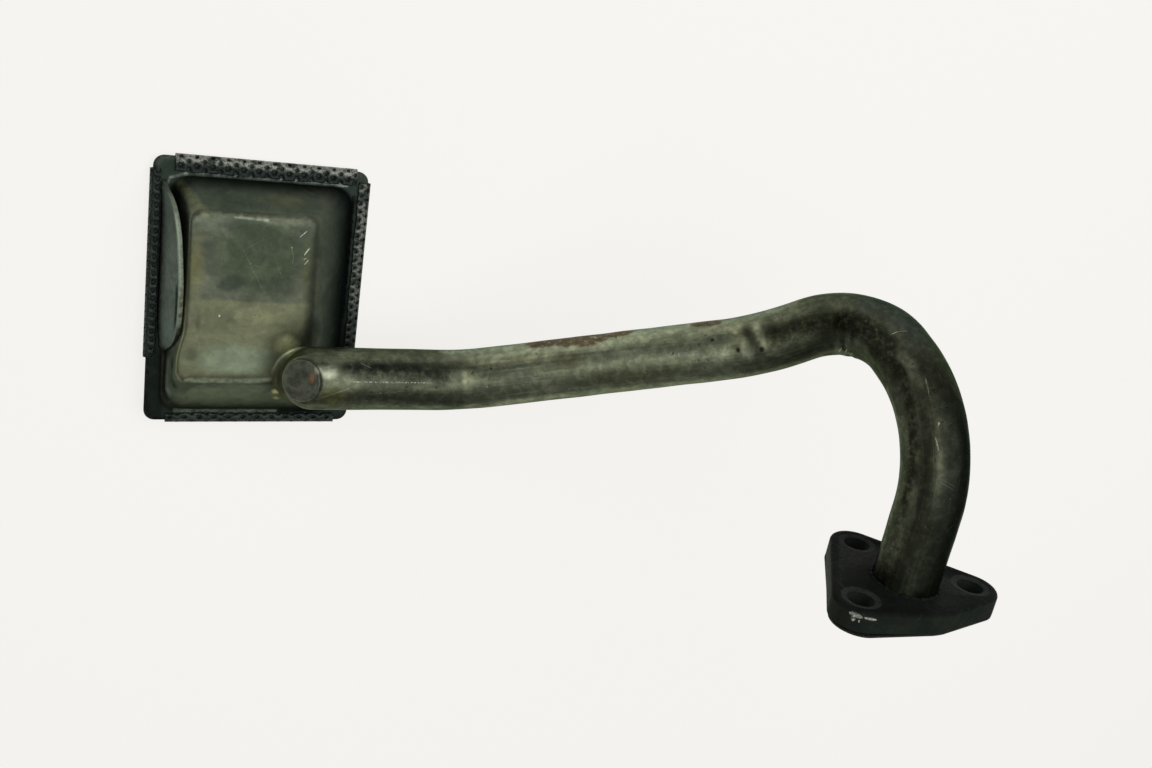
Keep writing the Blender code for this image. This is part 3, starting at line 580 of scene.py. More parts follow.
def pan_steel():
    """Pressed sheet steel of the dome: oil stained, grey where clean, olive and khaki elsewhere, with painted
    shade on its walls, in its hollows and under the tube, and painted highlights along its creases.
    """
    look = bpy.context.scene.pickup_finish
    material, s, shader = fresh_material("Pressed pan steel")
    at = object_space(s)
    cloud = s.group(blotches, Vector=at, Size=0.022, Low=0.38, High=0.64)["Mask"]
    fine = s.group(blotches, Vector=at, Size=0.005, Low=0.35, High=0.7)["Mask"]
    tone = s.mix(cloud, colour(look.pan_colour), colour((0.100, 0.120, 0.088)))
    where = s.add("ShaderNodeSeparateXYZ")
    s.put(where.inputs[0], at)
    x, y, z = where.outputs[:3]
    # Painted shade on the far wall and its rim.
    tone = s.mix(s.span(y, 0.0410, 0.0445, 0.0, 0.85), tone, colour((0.055, 0.072, 0.056)))
    # Painted shade on the right wall, darkest towards its foot.
    side = s.math("MULTIPLY", s.span(x, 0.0180, 0.0240), s.span(z, 0.0235, 0.0250, 1.0, 0.0))
    tone = s.mix(s.math("MULTIPLY", side, 0.9), tone,
                 s.mix(s.span(x, 0.0230, 0.0370), colour((0.078, 0.089, 0.072)),
                                                            colour((0.022, 0.029, 0.028))))
    wobble = s.math("MULTIPLY", s.math("SUBTRACT", s.noise(at, 120.0, 3.0), 0.5), 0.004)
    lower = s.math("MULTIPLY", s.span(s.math("ADD", y, wobble), 0.0028, 0.0052, 1.0, 0.0),
                   s.span(z, 0.0225, 0.0240))
    tone = s.lay(tone, lower, 0.85, (0.225, 0.238, 0.140))
    tone = lay_spots(s, at, tone, PAN_FILM_AND_PAINTED_LIGHT)
    tone = s.mix(s.math("MULTIPLY", fine, 0.5), tone, s.tint(tone, (1.55, 1.55, 1.45)))
    # Painted shade towards the foot of the walls.
    low = s.span(z, 0.0030, 0.0130, 0.75, 0.0)
    tone = s.mix(low, tone, s.tint(tone, (0.30, 0.33, 0.33)))
    rim = s.span(z, 0.0010, 0.0016, 0.92, 0.0)
    bottom = s.math("MULTIPLY", s.span(x, -0.040, -0.037, 1.0, 0.0), s.span(y, -0.030, -0.020, 1.0, 0.0))
    tone = s.mix(rim, tone, s.mix(bottom, colour((0.035, 0.048, 0.038)), colour((0.0155, 0.021, 0.0185))))
    edge = s.group(worn_edges_and_crevice_shade, Vector=at, Low=0.515, High=0.555)
    tone = s.lay(tone, edge["Edge"], 0.16, (0.30, 0.32, 0.26))
    # Painted shade in the hollow corners.
    tone = s.lay(tone, edge["Crevice shade"], 0.7, (0.010, 0.010, 0.008))
    tone = lay_bands(s, at, tone, PAN_BANDS)
    dots = s.group(pitting, Vector=at, Spacing=0.0021, Share=0.16)["Mask"]
    tone = s.lay(tone, dots, 0.5, (0.030, 0.030, 0.022))
    hair = s.group(hairlines, Vector=at, Amount=0.10)["Mask"]
    tone = s.mix(hair, tone, colour((0.35, 0.37, 0.30)))
    tone, _ = add_line_marks(s, at, tone, PAN_FAINT_MARKS, (0.42, 0.45, 0.38), 0.45)
    tone, marks = add_line_marks(s, at, tone, PAN_MARKS, (0.95, 0.97, 0.86), 0.85)
    s.put(shader.inputs["Base Color"], tone)
    grain = s.noise(at, 1500.0, 3.0, 0.6)
    rough = s.math("ADD", s.span(cloud, 0.0, 1.0, look.pan_roughness, look.pan_roughness + 0.1),
                   s.math("MULTIPLY", s.math("SUBTRACT", grain, 0.5), 0.25))
    s.put(shader.inputs["Roughness"], rough)
    shader.inputs["Metallic"].default_value = 0.85
    shader.inputs["Specular Tint"].default_value = (0.30, 0.34, 0.29, 1.0)
    height = s.math("SUBTRACT", grain, s.math("ADD", s.math("MULTIPLY", dots, 1.2), marks))
    bump_chain(s, shader, ((s.noise(at, 60.0, 3.0), 0.0015, 0.25), (height, 0.00012, 0.30)))
    return material


def louvre_face():
    """The louvre's face: dark blue-grey, with a painted reflection at its spoon end, painted shade along its
    root and towards its top end, and a painted shadow line near its edge.
    """
    material, s, shader = fresh_material("Louvre face steel")
    at = object_space(s)
    where = s.add("ShaderNodeSeparateXYZ")
    s.put(where.inputs[0], at)
    cloud = s.group(blotches, Vector=at, Size=0.007, Low=0.36, High=0.64)["Mask"]
    tone = s.mix(cloud, colour((0.116, 0.134, 0.114)), colour((0.082, 0.096, 0.085)))
    # Painted reflection at the spoon end.
    tone = s.mix(s.span(where.outputs[1], 0.005, -0.020, 0.0, 0.5), tone, colour((0.115, 0.148, 0.124)))
    # Painted shade towards the top end, in the hollow by the dome.
    tone = s.mix(s.span(where.outputs[1], 0.016, 0.042, 0.0, 0.55), tone, colour((0.040, 0.050, 0.046)))
    across = s.add("ShaderNodeSeparateXYZ")
    s.put(across.inputs[0], s.add("ShaderNodeUVMap", uv_map="Across").outputs[0])
    y = where.outputs[1]
    # Painted shade along the root.
    tone = s.mix(s.span(across.outputs[0], 0.05, 0.30, 0.9, 0.0), tone, colour((0.010, 0.012, 0.012)))
    # A painted shadow line just inside the free edge.
    shadow_line = s.math("MULTIPLY", s.span(across.outputs[0], 0.84, 0.89), s.span(y, -0.014, -0.006))
    shadow_line = s.math("MULTIPLY", shadow_line, s.span(y, 0.006, 0.012, 1.0, 0.0))
    tone = s.lay(tone, shadow_line, 0.95, (0.005, 0.006, 0.006))
    strip = s.span(across.outputs[0], 0.945, 0.965)
    tone = s.mix(s.math("MULTIPLY", strip, s.span(y, 0.047, 0.034)), tone, colour((0.200, 0.245, 0.180)))
    tone = s.mix(s.math("MULTIPLY", strip, s.span(y, -0.018, -0.002, 0.7, 0.0)), tone,
                 colour((0.060, 0.068, 0.060)))
    dots = s.group(pitting, Vector=at, Spacing=0.0017, Share=0.12)["Mask"]
    tone = s.lay(tone, dots, 0.4, (0.15, 0.16, 0.14))
    s.put(shader.inputs["Base Color"], tone)
    s.put(shader.inputs["Roughness"], s.span(s.noise(at, 500.0, 3.0), 0.3, 0.7, 0.34, 0.50))
    shader.inputs["Metallic"].default_value = 0.8
    shader.inputs["Specular Tint"].default_value = (0.45, 0.55, 0.48, 1.0)
    bump_chain(s, shader, ((s.noise(at, 900.0, 3.0), 0.0002, 0.35),))
    return material


def louvre_edge_steel():
    """The louvre's cut edge: pale grey-green sheet edge, brown in places, with painted shade at its top end.
    """
    material, s, shader = fresh_material("Louvre cut edge")
    at = object_space(s)
    where = s.add("ShaderNodeSeparateXYZ")
    s.put(where.inputs[0], at)
    rough_tone = s.span(s.noise(at, 600.0, 4.0), 0.35, 0.65)
    tone = s.mix(rough_tone, colour((0.270, 0.325, 0.240)), colour((0.430, 0.500, 0.370)))
    brown = s.math("MULTIPLY", s.span(where.outputs[1], 0.012, 0.002),
                   s.span(s.noise(at, 350.0, 2.0), 0.42, 0.55))
    tone = s.lay(tone, brown, 0.7, (0.150, 0.100, 0.050))
    # Painted shade at the top end, in the hollow by the dome.
    tone = s.mix(s.span(where.outputs[1], 0.036, 0.048, 0.0, 0.75), tone, colour((0.070, 0.085, 0.078)))
    tone = s.mix(s.span(where.outputs[1], -0.006, -0.014, 0.0, 0.8), tone, colour((0.050, 0.058, 0.052)))
    s.put(shader.inputs["Base Color"], tone)
    s.put(shader.inputs["Roughness"], s.span(rough_tone, 0.0, 1.0, 0.42, 0.58))
    shader.inputs["Metallic"].default_value = 0.55
    bump_chain(s, shader, ((s.noise(at, 1200.0, 3.0), 0.0002, 0.4),))
    return material


def screen_steel():
    """Perforated sheet: grimy and dark, worn to bright metal along its near and right folds, with a painted
    highlight along its far fold and painted shade in its hollow corners.
    """
    look = bpy.context.scene.pickup_finish
    material, s, shader = fresh_material("Perforated screen steel")
    at = object_space(s)
    patch = s.group(blotches, Vector=at, Size=0.006, Low=0.40, High=0.62)["Mask"]
    tone = s.mix(patch, colour(look.screen_colour), colour((0.075, 0.092, 0.079)))
    where = s.add("ShaderNodeSeparateXYZ")
    s.put(where.inputs[0], at)
    x, y, _ = where.outputs[:3]
    torn = s.span(s.noise(at, 210.0, 4.0, 0.65), 0.40, 0.54)
    inner = s.math("MULTIPLY", s.span(y, 0.0572, 0.0586, 1.0, 0.0), s.span(y, 0.050, 0.053))
    tone = s.lay(tone, inner, 0.75, (0.020, 0.027, 0.025))
    # Painted highlight along the far fold, broken up by noise.
    far = s.math("MULTIPLY", s.span(y, 0.0576, 0.0594), torn)
    tone = s.lay(tone, far, 0.85, (0.40, 0.42, 0.36))
    side = s.math("MULTIPLY", s.span(x, 0.0410, 0.0440), s.span(y, -0.030, 0.020))
    side = s.math("MULTIPLY", side, s.span(s.noise(at, 260.0, 4.0, 0.6), 0.36, 0.58))
    tone = s.lay(tone, side, 0.8, (0.29, 0.31, 0.26))
    near = s.math("MULTIPLY", s.span(y, -0.0605, -0.0590, 1.0, 0.0),
                  s.span(s.noise(at, 300.0, 4.0, 0.6), 0.45, 0.6))
    tone = s.lay(tone, near, 0.5, (0.24, 0.25, 0.21))
    edge = s.group(worn_edges_and_crevice_shade, Vector=at, Low=0.57, High=0.68)
    tone = s.lay(tone, edge["Edge"], 0.12, (0.26, 0.28, 0.24))
    # Painted shade in the hollow corners.
    tone = s.lay(tone, edge["Crevice shade"], 0.85, (0.006, 0.007, 0.007))
    grime = s.span(s.noise(at, 900.0, 4.0, 0.7), 0.50, 0.64)
    tone = s.lay(tone, grime, 0.7, (0.008, 0.010, 0.010))
    specks = s.group(pitting, Vector=at, Spacing=0.0009, Share=0.20)["Mask"]
    tone = s.lay(tone, specks, 0.6, (0.34, 0.36, 0.31))
    s.put(shader.inputs["Base Color"], tone)
    s.put(shader.inputs["Roughness"], s.span(grime, 0.0, 1.0, look.screen_roughness, 0.75))
    shader.inputs["Metallic"].default_value = 0.7
    bump_chain(s, shader, ((s.noise(at, 1100.0, 4.0, 0.65), 0.0003, 0.6),))
    return material


# Marks on the tube lie on its unrolled skin: (run along the tube, way round it, 0), in millimetres
TUBE_FILM_AND_PAINTED_LIGHT = (
    # Painted highlight beside the plug.
    ((3.5, -8.0, 0.0), (6.0, 5.0, 9.0), 0.7, (0.560, 0.610, 0.460), 0.75),
    ((6.0, 4.0, 0.0), (8.0, 6.0, 9.0), 0.6, (0.230, 0.244, 0.088), 0.55),
    ((2.5, -11.2, 0.0), (3.0, 1.6, 9.0), 0.7, (0.060, 0.074, 0.048), 0.6),
    # Painted highlights on the first bend.
    ((71.0, -6.0, 0.0), (5.0, 11.0, 9.0), 0.8, (0.330, 0.345, 0.205), 0.30),
    ((68.6, -3.7, 0.0), (2.2, 2.4, 9.0), 0.8, (0.400, 0.415, 0.290), 0.45),
    ((120.0, -8.0, 0.0), (10.0, 6.0, 9.0), 0.8, (0.170, 0.133, 0.055), 0.4),
    ((150.0, 1.0, 0.0), (40.0, 7.0, 9.0), 0.7, (0.110, 0.111, 0.055), 0.5),
    # Painted highlights and painted shade across the wrinkles.
    ((197.3, -10.8, 0.0), (4.4, 8.0, 9.0), 0.95, (0.500, 0.515, 0.320), 0.65),
    ((208.2, -9.2, 0.0), (3.4, 9.5, 9.0), 0.95, (0.560, 0.575, 0.380), 0.65),
    ((203.0, -9.0, 0.0), (2.6, 11.0, 9.0), 0.8, (0.050, 0.053, 0.030), 0.5),
    ((214.5, -9.0, 0.0), (4.5, 10.0, 9.0), 0.8, (0.040, 0.042, 0.023), 0.5),
    # Painted highlight on the crest's upper edge.
    ((227.0, -22.5, 0.0), (5.0, 4.5, 9.0), 0.7, (0.420, 0.424, 0.310), 0.5),
    ((243.0, -26.5, 0.0), (15.0, 6.0, 9.0), 0.8, (0.200, 0.245, 0.190), 0.6),
    ((251.0, 9.5, 0.0), (13.0, 3.4, 9.0), 0.7, (0.170, 0.196, 0.123), 0.5),
    ((197.0, -3.8, 0.0), (1.5, 1.7, 9.0), 0.6, (0.014, 0.013, 0.007), 0.9),
    ((207.8, -2.2, 0.0), (1.6, 1.6, 9.0), 0.6, (0.014, 0.013, 0.007), 0.8),
    ((185.9, -9.9, 0.0), (1.3, 1.2, 9.0), 0.6, (0.020, 0.019, 0.011), 0.85),
    ((85.0, -8.7, 0.0), (0.9, 0.8, 9.0), 0.6, (0.020, 0.019, 0.011), 0.85),
)
TUBE_BANDS = (
    ((14.0, -9.0, 0.0), (56.0, -7.0, 0.0), 0.0062, (0.026, 0.033, 0.024), 0.9),
    ((18.0, 9.0, 0.0), (56.0, 10.0, 0.0), 0.0055, (0.210, 0.240, 0.170), 0.65),
    # Painted reflection along the run's upper edge.
    ((60.0, -22.0, 0.0), (222.0, -22.0, 0.0), 0.0052, (0.340, 0.415, 0.325), 0.6),
    # Painted shade along the run's lower edge.
    ((56.0, 16.8, 0.0), (215.0, 16.8, 0.0), 0.0032, (0.045, 0.050, 0.035), 0.8),
    ((256.0, -21.0, 0.0), (284.0, -23.0, 0.0), 0.0100, (0.050, 0.062, 0.055), 0.85),
    ((79.0, -10.8, 0.0), (112.0, -10.6, 0.0), 0.0026, (0.520, 0.530, 0.330), 0.65),
    ((208.0, 8.0, 0.0), (236.0, 10.0, 0.0), 0.0045, (0.110, 0.115, 0.070), 0.5),
    # Painted shade on the crest and the fall.
    ((214.0, -5.0, 0.0), (250.0, -7.0, 0.0), 0.0085, (0.034, 0.036, 0.019), 0.85),
    ((250.0, -7.0, 0.0), (293.0, -8.0, 0.0), 0.0075, (0.010, 0.011, 0.006), 0.95),
    ((293.0, -8.0, 0.0), (346.0, -3.0, 0.0), 0.0040, (0.012, 0.013, 0.008), 0.95),
    ((346.0, -3.0, 0.0), (390.0, -3.0, 0.0), 0.0050, (0.012, 0.013, 0.009), 0.7),
    # Painted highlights along the crest and the fall.
    ((289.0, -11.5, 0.0), (302.0, -13.6, 0.0), 0.0034, (0.150, 0.165, 0.120), 0.7),
    ((302.0, -13.6, 0.0), (334.0, -14.5, 0.0), 0.0040, (0.135, 0.142, 0.094), 0.8),
    ((334.0, -14.5, 0.0), (390.0, -11.0, 0.0), 0.0038, (0.105, 0.115, 0.084), 0.6),
    ((296.0, 4.5, 0.0), (388.0, 3.5, 0.0), 0.0032, (0.180, 0.200, 0.155), 0.75),
)
TUBE_RUST = (
    ((110.0, -21.5, 0.0), (10.0, 5.5, 9.0)),
    ((128.0, -21.0, 0.0), (15.0, 7.5, 9.0)),
    ((143.0, -22.0, 0.0), (9.0, 5.0, 9.0)),
    ((184.5, -21.5, 0.0), (8.5, 4.2, 9.0)),
)
TUBE_MARKS = (
    ((0.0, 4.8, 0.0), (13.4, -0.6, 0.0), 0.00030, 0.6),
    ((14.0, -3.3, 0.0), (50.0, -3.3, 0.0), 0.00040, 1.0),
    ((278.0, -13.1, 0.0), (278.3, -15.6, 0.0), 0.00026, 0.0),
    ((278.3, -15.6, 0.0), (279.8, -19.5, 0.0), 0.00013, 0.3),
    # These four are painted highlights: short bright streaks on the fall.
    ((301.0, -16.0, 0.0), (306.8, -15.3, 0.0), 0.00055, 0.6),
    ((307.0, -15.6, 0.0), (309.4, -15.0, 0.0), 0.00060, 1.0),
    ((316.8, -16.8, 0.0), (318.6, -16.2, 0.0), 0.00060, 1.0),
    ((321.6, -14.6, 0.0), (326.5, -15.7, 0.0), 0.00042, 0.6),
    ((247.0, 9.6, 0.0), (250.8, 5.6, 0.0), 0.00040, 0.3),
    ((251.5, 9.6, 0.0), (254.6, 6.4, 0.0), 0.00034, 0.3),
    ((255.5, 10.4, 0.0), (258.6, 7.4, 0.0), 0.00030, 0.5),
    ((170.3, -5.6, 0.0), (170.2, -4.2, 0.0), 0.00030, 0.0),
    ((108.0, 5.6, 0.0), (108.9, 6.0, 0.0), 0.00034, 0.0),
    ((98.6, 0.5, 0.0), (99.4, 0.6, 0.0), 0.00034, 0.0),
    ((24.0, 2.0, 0.0), (34.0, 1.2, 0.0), 0.00022, 1.0),
    ((18.0, -12.0, 0.0), (23.0, -9.4, 0.0), 0.00020, 0.5),
    ((352.0, -14.0, 0.0), (353.5, -14.6, 0.0), 0.00040, 1.0),
)
# How bright the tube is along its run, from (run in metres, tone): oil film, with a painted highlight at the
# first bend and painted shade on the crest and the fall
TUBE_RUN = ((-0.014, 0.60), (0.010, 0.50), (0.025, 0.40), (0.038, 0.37), (0.053, 0.38), (0.065, 0.47),
            (0.074, 0.68),
            (0.086, 0.95), (0.117, 1.10), (0.157, 1.02), (0.186, 0.84), (0.205, 0.56), (0.222, 0.46),
            (0.245, 0.32),
            (0.262, 0.18), (0.290, 0.19), (0.320, 0.25), (0.352, 0.27), (0.396, 0.24))


def tube_steel():
    """Drawn tube: olive oil film, drawing lines, pits, and rust where it lay wet, with painted highlights
    near the plug, on the bends and along the crest and the fall, and painted shade on the crest and the fall.
    """
    look = bpy.context.scene.pickup_finish
    material, s, shader = fresh_material("Drawn tube steel")
    at = object_space(s)
    along = s.add("ShaderNodeUVMap", uv_map="Along").outputs[0]
    lines = s.group(drawn_lines, Vector=along, Stretch=28.0, Pitch=0.0011)["Mask"]
    wide = s.group(drawn_lines, Vector=along, Stretch=9.0, Pitch=0.006)["Mask"]
    cloud = s.group(blotches, Vector=at, Size=0.017, Low=0.36, High=0.66)["Mask"]
    tone = s.mix(cloud, colour(look.tube_colour), colour((0.195, 0.225, 0.150)))
    tone = s.mix(s.span(wide, 0.42, 0.6, 0.0, 0.5), tone, colour((0.335, 0.370, 0.262)))
    tone = s.mix(s.span(lines, 0.53, 0.68, 0.0, 0.35), tone, colour((0.445, 0.485, 0.360)))
    where = s.add("ShaderNodeSeparateXYZ")
    s.put(where.inputs[0], along)
    run, round_it = where.outputs[0], where.outputs[1]
    tone = s.mix(1.0, tone, s.ramp(run, TUBE_RUN, TUBE_RUN[0][0], TUBE_RUN[-1][0]), "MULTIPLY")
    # Painted shade on the side of the fall that turns from the light.
    away = s.math("MULTIPLY", s.span(round_it, -0.0205, -0.0150, 1.0, 0.0), s.span(run, 0.290, 0.325))
    away = s.math("MULTIPLY", away, s.span(round_it, -0.0430, -0.0320))
    tone = s.lay(tone, away, 0.85, (0.0145, 0.0175, 0.0135))
    tone = lay_bands(s, along, tone, TUBE_BANDS)
    tone = lay_spots(s, along, tone, TUBE_FILM_AND_PAINTED_LIGHT)
    rust = None
    for centre, reach in TUBE_RUST:
        mask = s.group(soft_spot, Vector=along, Centre=millimetres(*centre), Reach=millimetres(*reach),
                       Softness=0.35)["Mask"]
        rust = mask if rust is None else s.math("MAXIMUM", rust, mask)
    rust = s.math("MULTIPLY", rust, s.span(s.noise(at, 420.0, 4.0, 0.7), 0.30, 0.48))
    tone = s.mix(s.math("MULTIPLY", rust, 0.9), tone, s.mix(s.span(s.noise(at, 900.0, 3.0), 0.35, 0.65),
                                                            colour((0.210, 0.150, 0.076)),
                                                            colour((0.140, 0.096, 0.045))))
    fine = s.group(blotches, Vector=at, Size=0.0035, Low=0.40, High=0.66)["Mask"]
    tone = s.mix(fine, s.tint(tone, (0.82, 0.82, 0.80)),
                 s.tint(tone, (1.30, 1.30, 1.22)))
    specks = s.group(pitting, Vector=at, Spacing=0.0014, Share=0.10)["Mask"]
    tone = s.lay(tone, specks, 0.35, (0.55, 0.56, 0.42))
    dots = s.group(pitting, Vector=at, Spacing=0.0033, Share=0.22)["Mask"]
    tone = s.lay(tone, dots, 0.7, (0.020, 0.018, 0.012))
    hair = s.group(hairlines, Vector=along, Amount=0.14)["Mask"]
    tone = s.mix(hair, tone, colour((0.40, 0.42, 0.34)))
    # Scratches, and the painted highlight streaks on the fall.
    tone, bright_marks = add_line_marks(s, along, tone, TUBE_MARKS, (0.62, 0.65, 0.54), 0.6)
    s.put(shader.inputs["Base Color"], tone)
    grain = s.noise(at, 1300.0, 3.0, 0.6)
    rough = s.math("ADD", s.span(cloud, 0.0, 1.0, look.tube_roughness, look.tube_roughness + 0.12),
                   s.math("MULTIPLY", s.math("SUBTRACT", lines, 0.5), 0.3))
    s.put(shader.inputs["Roughness"], s.math("ADD", rough, s.math("MULTIPLY", rust, 0.35)))
    s.put(shader.inputs["Metallic"], s.span(rust, 0.0, 1.0, 0.88, 0.15))
    shader.inputs["Specular Tint"].default_value = (0.33, 0.38, 0.33, 1.0)
    height = s.math("SUBTRACT", s.math("ADD", grain, s.math("MULTIPLY", lines, 0.8)),
                    s.math("ADD", s.math("MULTIPLY", dots, 3.0), bright_marks))
    bump_chain(s, shader, ((s.noise(at, 45.0, 2.0), 0.002, 0.12), (height, 0.00012, 0.35)))
    return material


PLUG_FILM = (
    ((-229.8, 45.0, -114.9), (2.4, 3.6, 2.4), 0.8, (0.560, 0.330, 0.165), 0.7),
    ((-228.1, 49.0, -114.4), (2.2, 3.0, 2.2), 0.8, (0.620, 0.600, 0.440), 0.7),
    ((-234.5, 36.5, -116.5), (4.5, 2.6, 4.5), 0.8, (0.120, 0.100, 0.075), 0.6),
)


def plug_steel():
    """The end plug: purple-grey heat colour with painted glints in its pits and a coppery spot."""
    material, s, shader = fresh_material("Heat-tinted plug steel")
    at = object_space(s)
    cloud = s.group(blotches, Vector=at, Size=0.006, Low=0.35, High=0.65)["Mask"]
    tone = s.mix(cloud, colour((0.225, 0.240, 0.175)), colour((0.100, 0.115, 0.086)))
    tone = lay_spots(s, at, tone, PLUG_FILM)
    # Painted glints: near-white dots in one small patch of pits.
    painted_glints = s.math("MULTIPLY", s.group(pitting, Vector=at, Spacing=0.0020, Share=0.60)["Mask"],
                     s.group(soft_spot, Vector=at, Centre=millimetres(-237.0, 42.0, -120.2),
                             Reach=millimetres(5.0, 4.0, 5.0), Softness=0.9)["Mask"])
    tone = s.mix(painted_glints, tone, colour((0.95, 0.95, 0.85)))
    dark = s.group(pitting, Vector=at, Spacing=0.0017, Share=0.20)["Mask"]
    tone = s.lay(tone, dark, 0.6, (0.030, 0.028, 0.024))
    s.put(shader.inputs["Base Color"], tone)
    s.put(shader.inputs["Roughness"], s.span(s.noise(at, 700.0, 4.0), 0.3, 0.7, 0.38, 0.62))
    shader.inputs["Metallic"].default_value = 0.75
    bump_chain(s, shader, ((s.noise(at, 500.0, 4.0), 0.0005, 0.5),))
    return material


def braze_brass():
    """Brass braze: yellow where it is clean, brown where flux stayed."""
    material, s, shader = fresh_material("Braze brass")
    at = object_space(s)
    cloud = s.group(blotches, Vector=at, Size=0.0035, Low=0.42, High=0.58)["Mask"]
    tone = s.mix(cloud, colour((0.090, 0.080, 0.048)), colour((0.46, 0.44, 0.20)))
    edge = s.group(worn_edges_and_crevice_shade, Vector=at, Low=0.53, High=0.62)
    tone = s.lay(tone, edge["Edge"], 0.4, (0.60, 0.58, 0.34))
    s.put(shader.inputs["Base Color"], tone)
    s.put(shader.inputs["Roughness"], s.span(cloud, 0.0, 1.0, 0.62, 0.36))
    shader.inputs["Metallic"].default_value = 0.7
    bump_chain(s, shader, ((s.noise(at, 800.0, 4.0), 0.0005, 0.7),))
    return material


def flange_steel():
    """The flange: near-black oil film over rough steel, paler rings where bolt heads sat, one bright nick,
    painted light on its sides and painted shade in its hollow corners.
    """
    look = bpy.context.scene.pickup_finish
    material, s, shader = fresh_material("Flange steel")
    at = object_space(s)
    cloud = s.group(blotches, Vector=at, Size=0.012, Low=0.36, High=0.66)["Mask"]
    tone = s.mix(cloud, colour(look.flange_colour), colour((0.0170, 0.0205, 0.0168)))
    where = s.add("ShaderNodeSeparateXYZ")
    s.put(where.inputs[0], at)
    for x, z in flange_bolts():
        centre = s.add("ShaderNodeCombineXYZ")
        centre.inputs[0].default_value = x
        centre.inputs[2].default_value = z
        s.put(centre.inputs[1], where.outputs[1])
        away = s.vector("DISTANCE", at, centre.outputs[0])
        ring = s.math("MULTIPLY", s.span(away, 0.0054, 0.0062), s.span(away, 0.0080, 0.0088, 1.0, 0.0))
        ring = s.math("MULTIPLY", ring, s.span(s.noise(at, 260.0, 4.0), 0.32, 0.56, 0.35, 1.0))
        tone = s.lay(tone, ring, 0.9, (0.050, 0.060, 0.052))
    # Painted light on the plate's sides.
    side = s.span(where.outputs[1], 0.0088, 0.0100, 1.0, 0.0)
    tone = s.mix(side, tone, s.tint(tone, (1.60, 1.58, 1.45)))
    # More painted light on the sides that face towards -X and -Z.
    facing = s.vector("DOT_PRODUCT", s.add("ShaderNodeNewGeometry").outputs["Normal"], (-0.8, 0.0, -0.6))
    tone = s.mix(s.math("MULTIPLY", side, s.span(facing, 0.60, 0.90)), tone,
                 s.tint(tone, (1.6, 1.75, 1.5)))
    edge = s.group(worn_edges_and_crevice_shade, Vector=at, Low=0.52, High=0.60)
    tone = s.lay(tone, edge["Edge"], 0.4, (0.040, 0.048, 0.042))
    # Painted shade in the hollow corners.
    tone = s.lay(tone, edge["Crevice shade"], 0.6, (0.003, 0.003, 0.003))
    hair = s.group(hairlines, Vector=at, Amount=0.12)["Mask"]
    tone = s.mix(hair, tone, colour((0.22, 0.23, 0.20)))
    dots = s.group(pitting, Vector=at, Spacing=0.0040, Share=0.14)["Mask"]
    tone = s.lay(tone, dots, 0.4, (0.07, 0.08, 0.07))
    nick = (
        ((-39.8, 8.7, 36.4), (-36.0, 8.3, 39.9), 0.0013, 0.6),
        ((-38.8, 8.4, 37.8), (-38.6, 5.6, 38.2), 0.0011, 0.8),
        ((-35.4, 8.5, 40.4), (-30.4, 7.9, 41.9), 0.0008, 0.5),
        ((-36.8, 7.0, 39.3), (-36.6, 5.8, 39.6), 0.0005, 1.0),
    )
    tone, bright_marks = add_line_marks(s, at, tone, nick, (0.80, 0.80, 0.72))
    s.put(shader.inputs["Base Color"], tone)
    grain = s.noise(at, 900.0, 4.0, 0.6)
    s.put(shader.inputs["Roughness"],
          s.span(grain, 0.3, 0.7, look.flange_roughness, look.flange_roughness + 0.18))
    shader.inputs["Metallic"].default_value = 0.0
    shader.inputs["Specular IOR Level"].default_value = 0.013
    height = s.math("SUBTRACT", grain, s.math("ADD", bright_marks, s.math("MULTIPLY", dots, 0.6)))
    bump_chain(s, shader, ((s.noise(at, 120.0, 3.0), 0.0012, 0.25), (height, 0.00025, 0.45)))
    return material


def gasket_paper():
    """Oil-soaked gasket: almost black, fibrous."""
    material, s, shader = fresh_material("Gasket paper")
    at = object_space(s)
    fibre = s.noise(s.vector("MULTIPLY", at, (1.0, 4.0, 1.0)), 900.0, 4.0, 0.7)
    s.put(shader.inputs["Base Color"], s.mix(s.span(fibre, 0.4, 0.65), colour((0.011, 0.011, 0.009)),
                                             colour((0.032, 0.031, 0.025))))
    s.put(shader.inputs["Roughness"], s.span(fibre, 0.3, 0.7, 0.55, 0.85))
    bump_chain(s, shader, ((fibre, 0.0003, 0.6),))
    return material


# The strainer pan


def dome_outlines():
    """The dome's foot and top outlines, with the left wall set back where the louvre was lanced."""
    foot = outline(DOME_FOOT, 0.0095)
    top = outline(DOME_TOP, 0.0055)
    left = smooth_step(-0.012, -0.026, top[:, 0])
    behind = smooth_step(-0.024, -0.008, top[:, 1])
    shift = -0.0024 + behind * 0.0027
    top[:, 0] += shift * left
    push = -0.0006 + 0.0011 * smooth_step(-0.02, 0.0, foot[:, 1])
    foot[:, 0] += smooth_step(-0.03, -0.038, foot[:, 0]) * push
    return foot, top


def pocket_height(xy):
    """How high the slanted pocket lets the dome stand at places in the pan's frame."""
    upper = DOME_HEIGHT - 0.34 * ((xy[:, 0] - 0.0215) * 0.975 + (xy[:, 1] - 0.0050) * -0.222)
    lower = DOME_HEIGHT - 0.36 * ((xy[:, 0] - 0.0128) * 0.86 + (xy[:, 1] + 0.0180) * -0.51)
    return soft_min(upper, lower, 0.004)


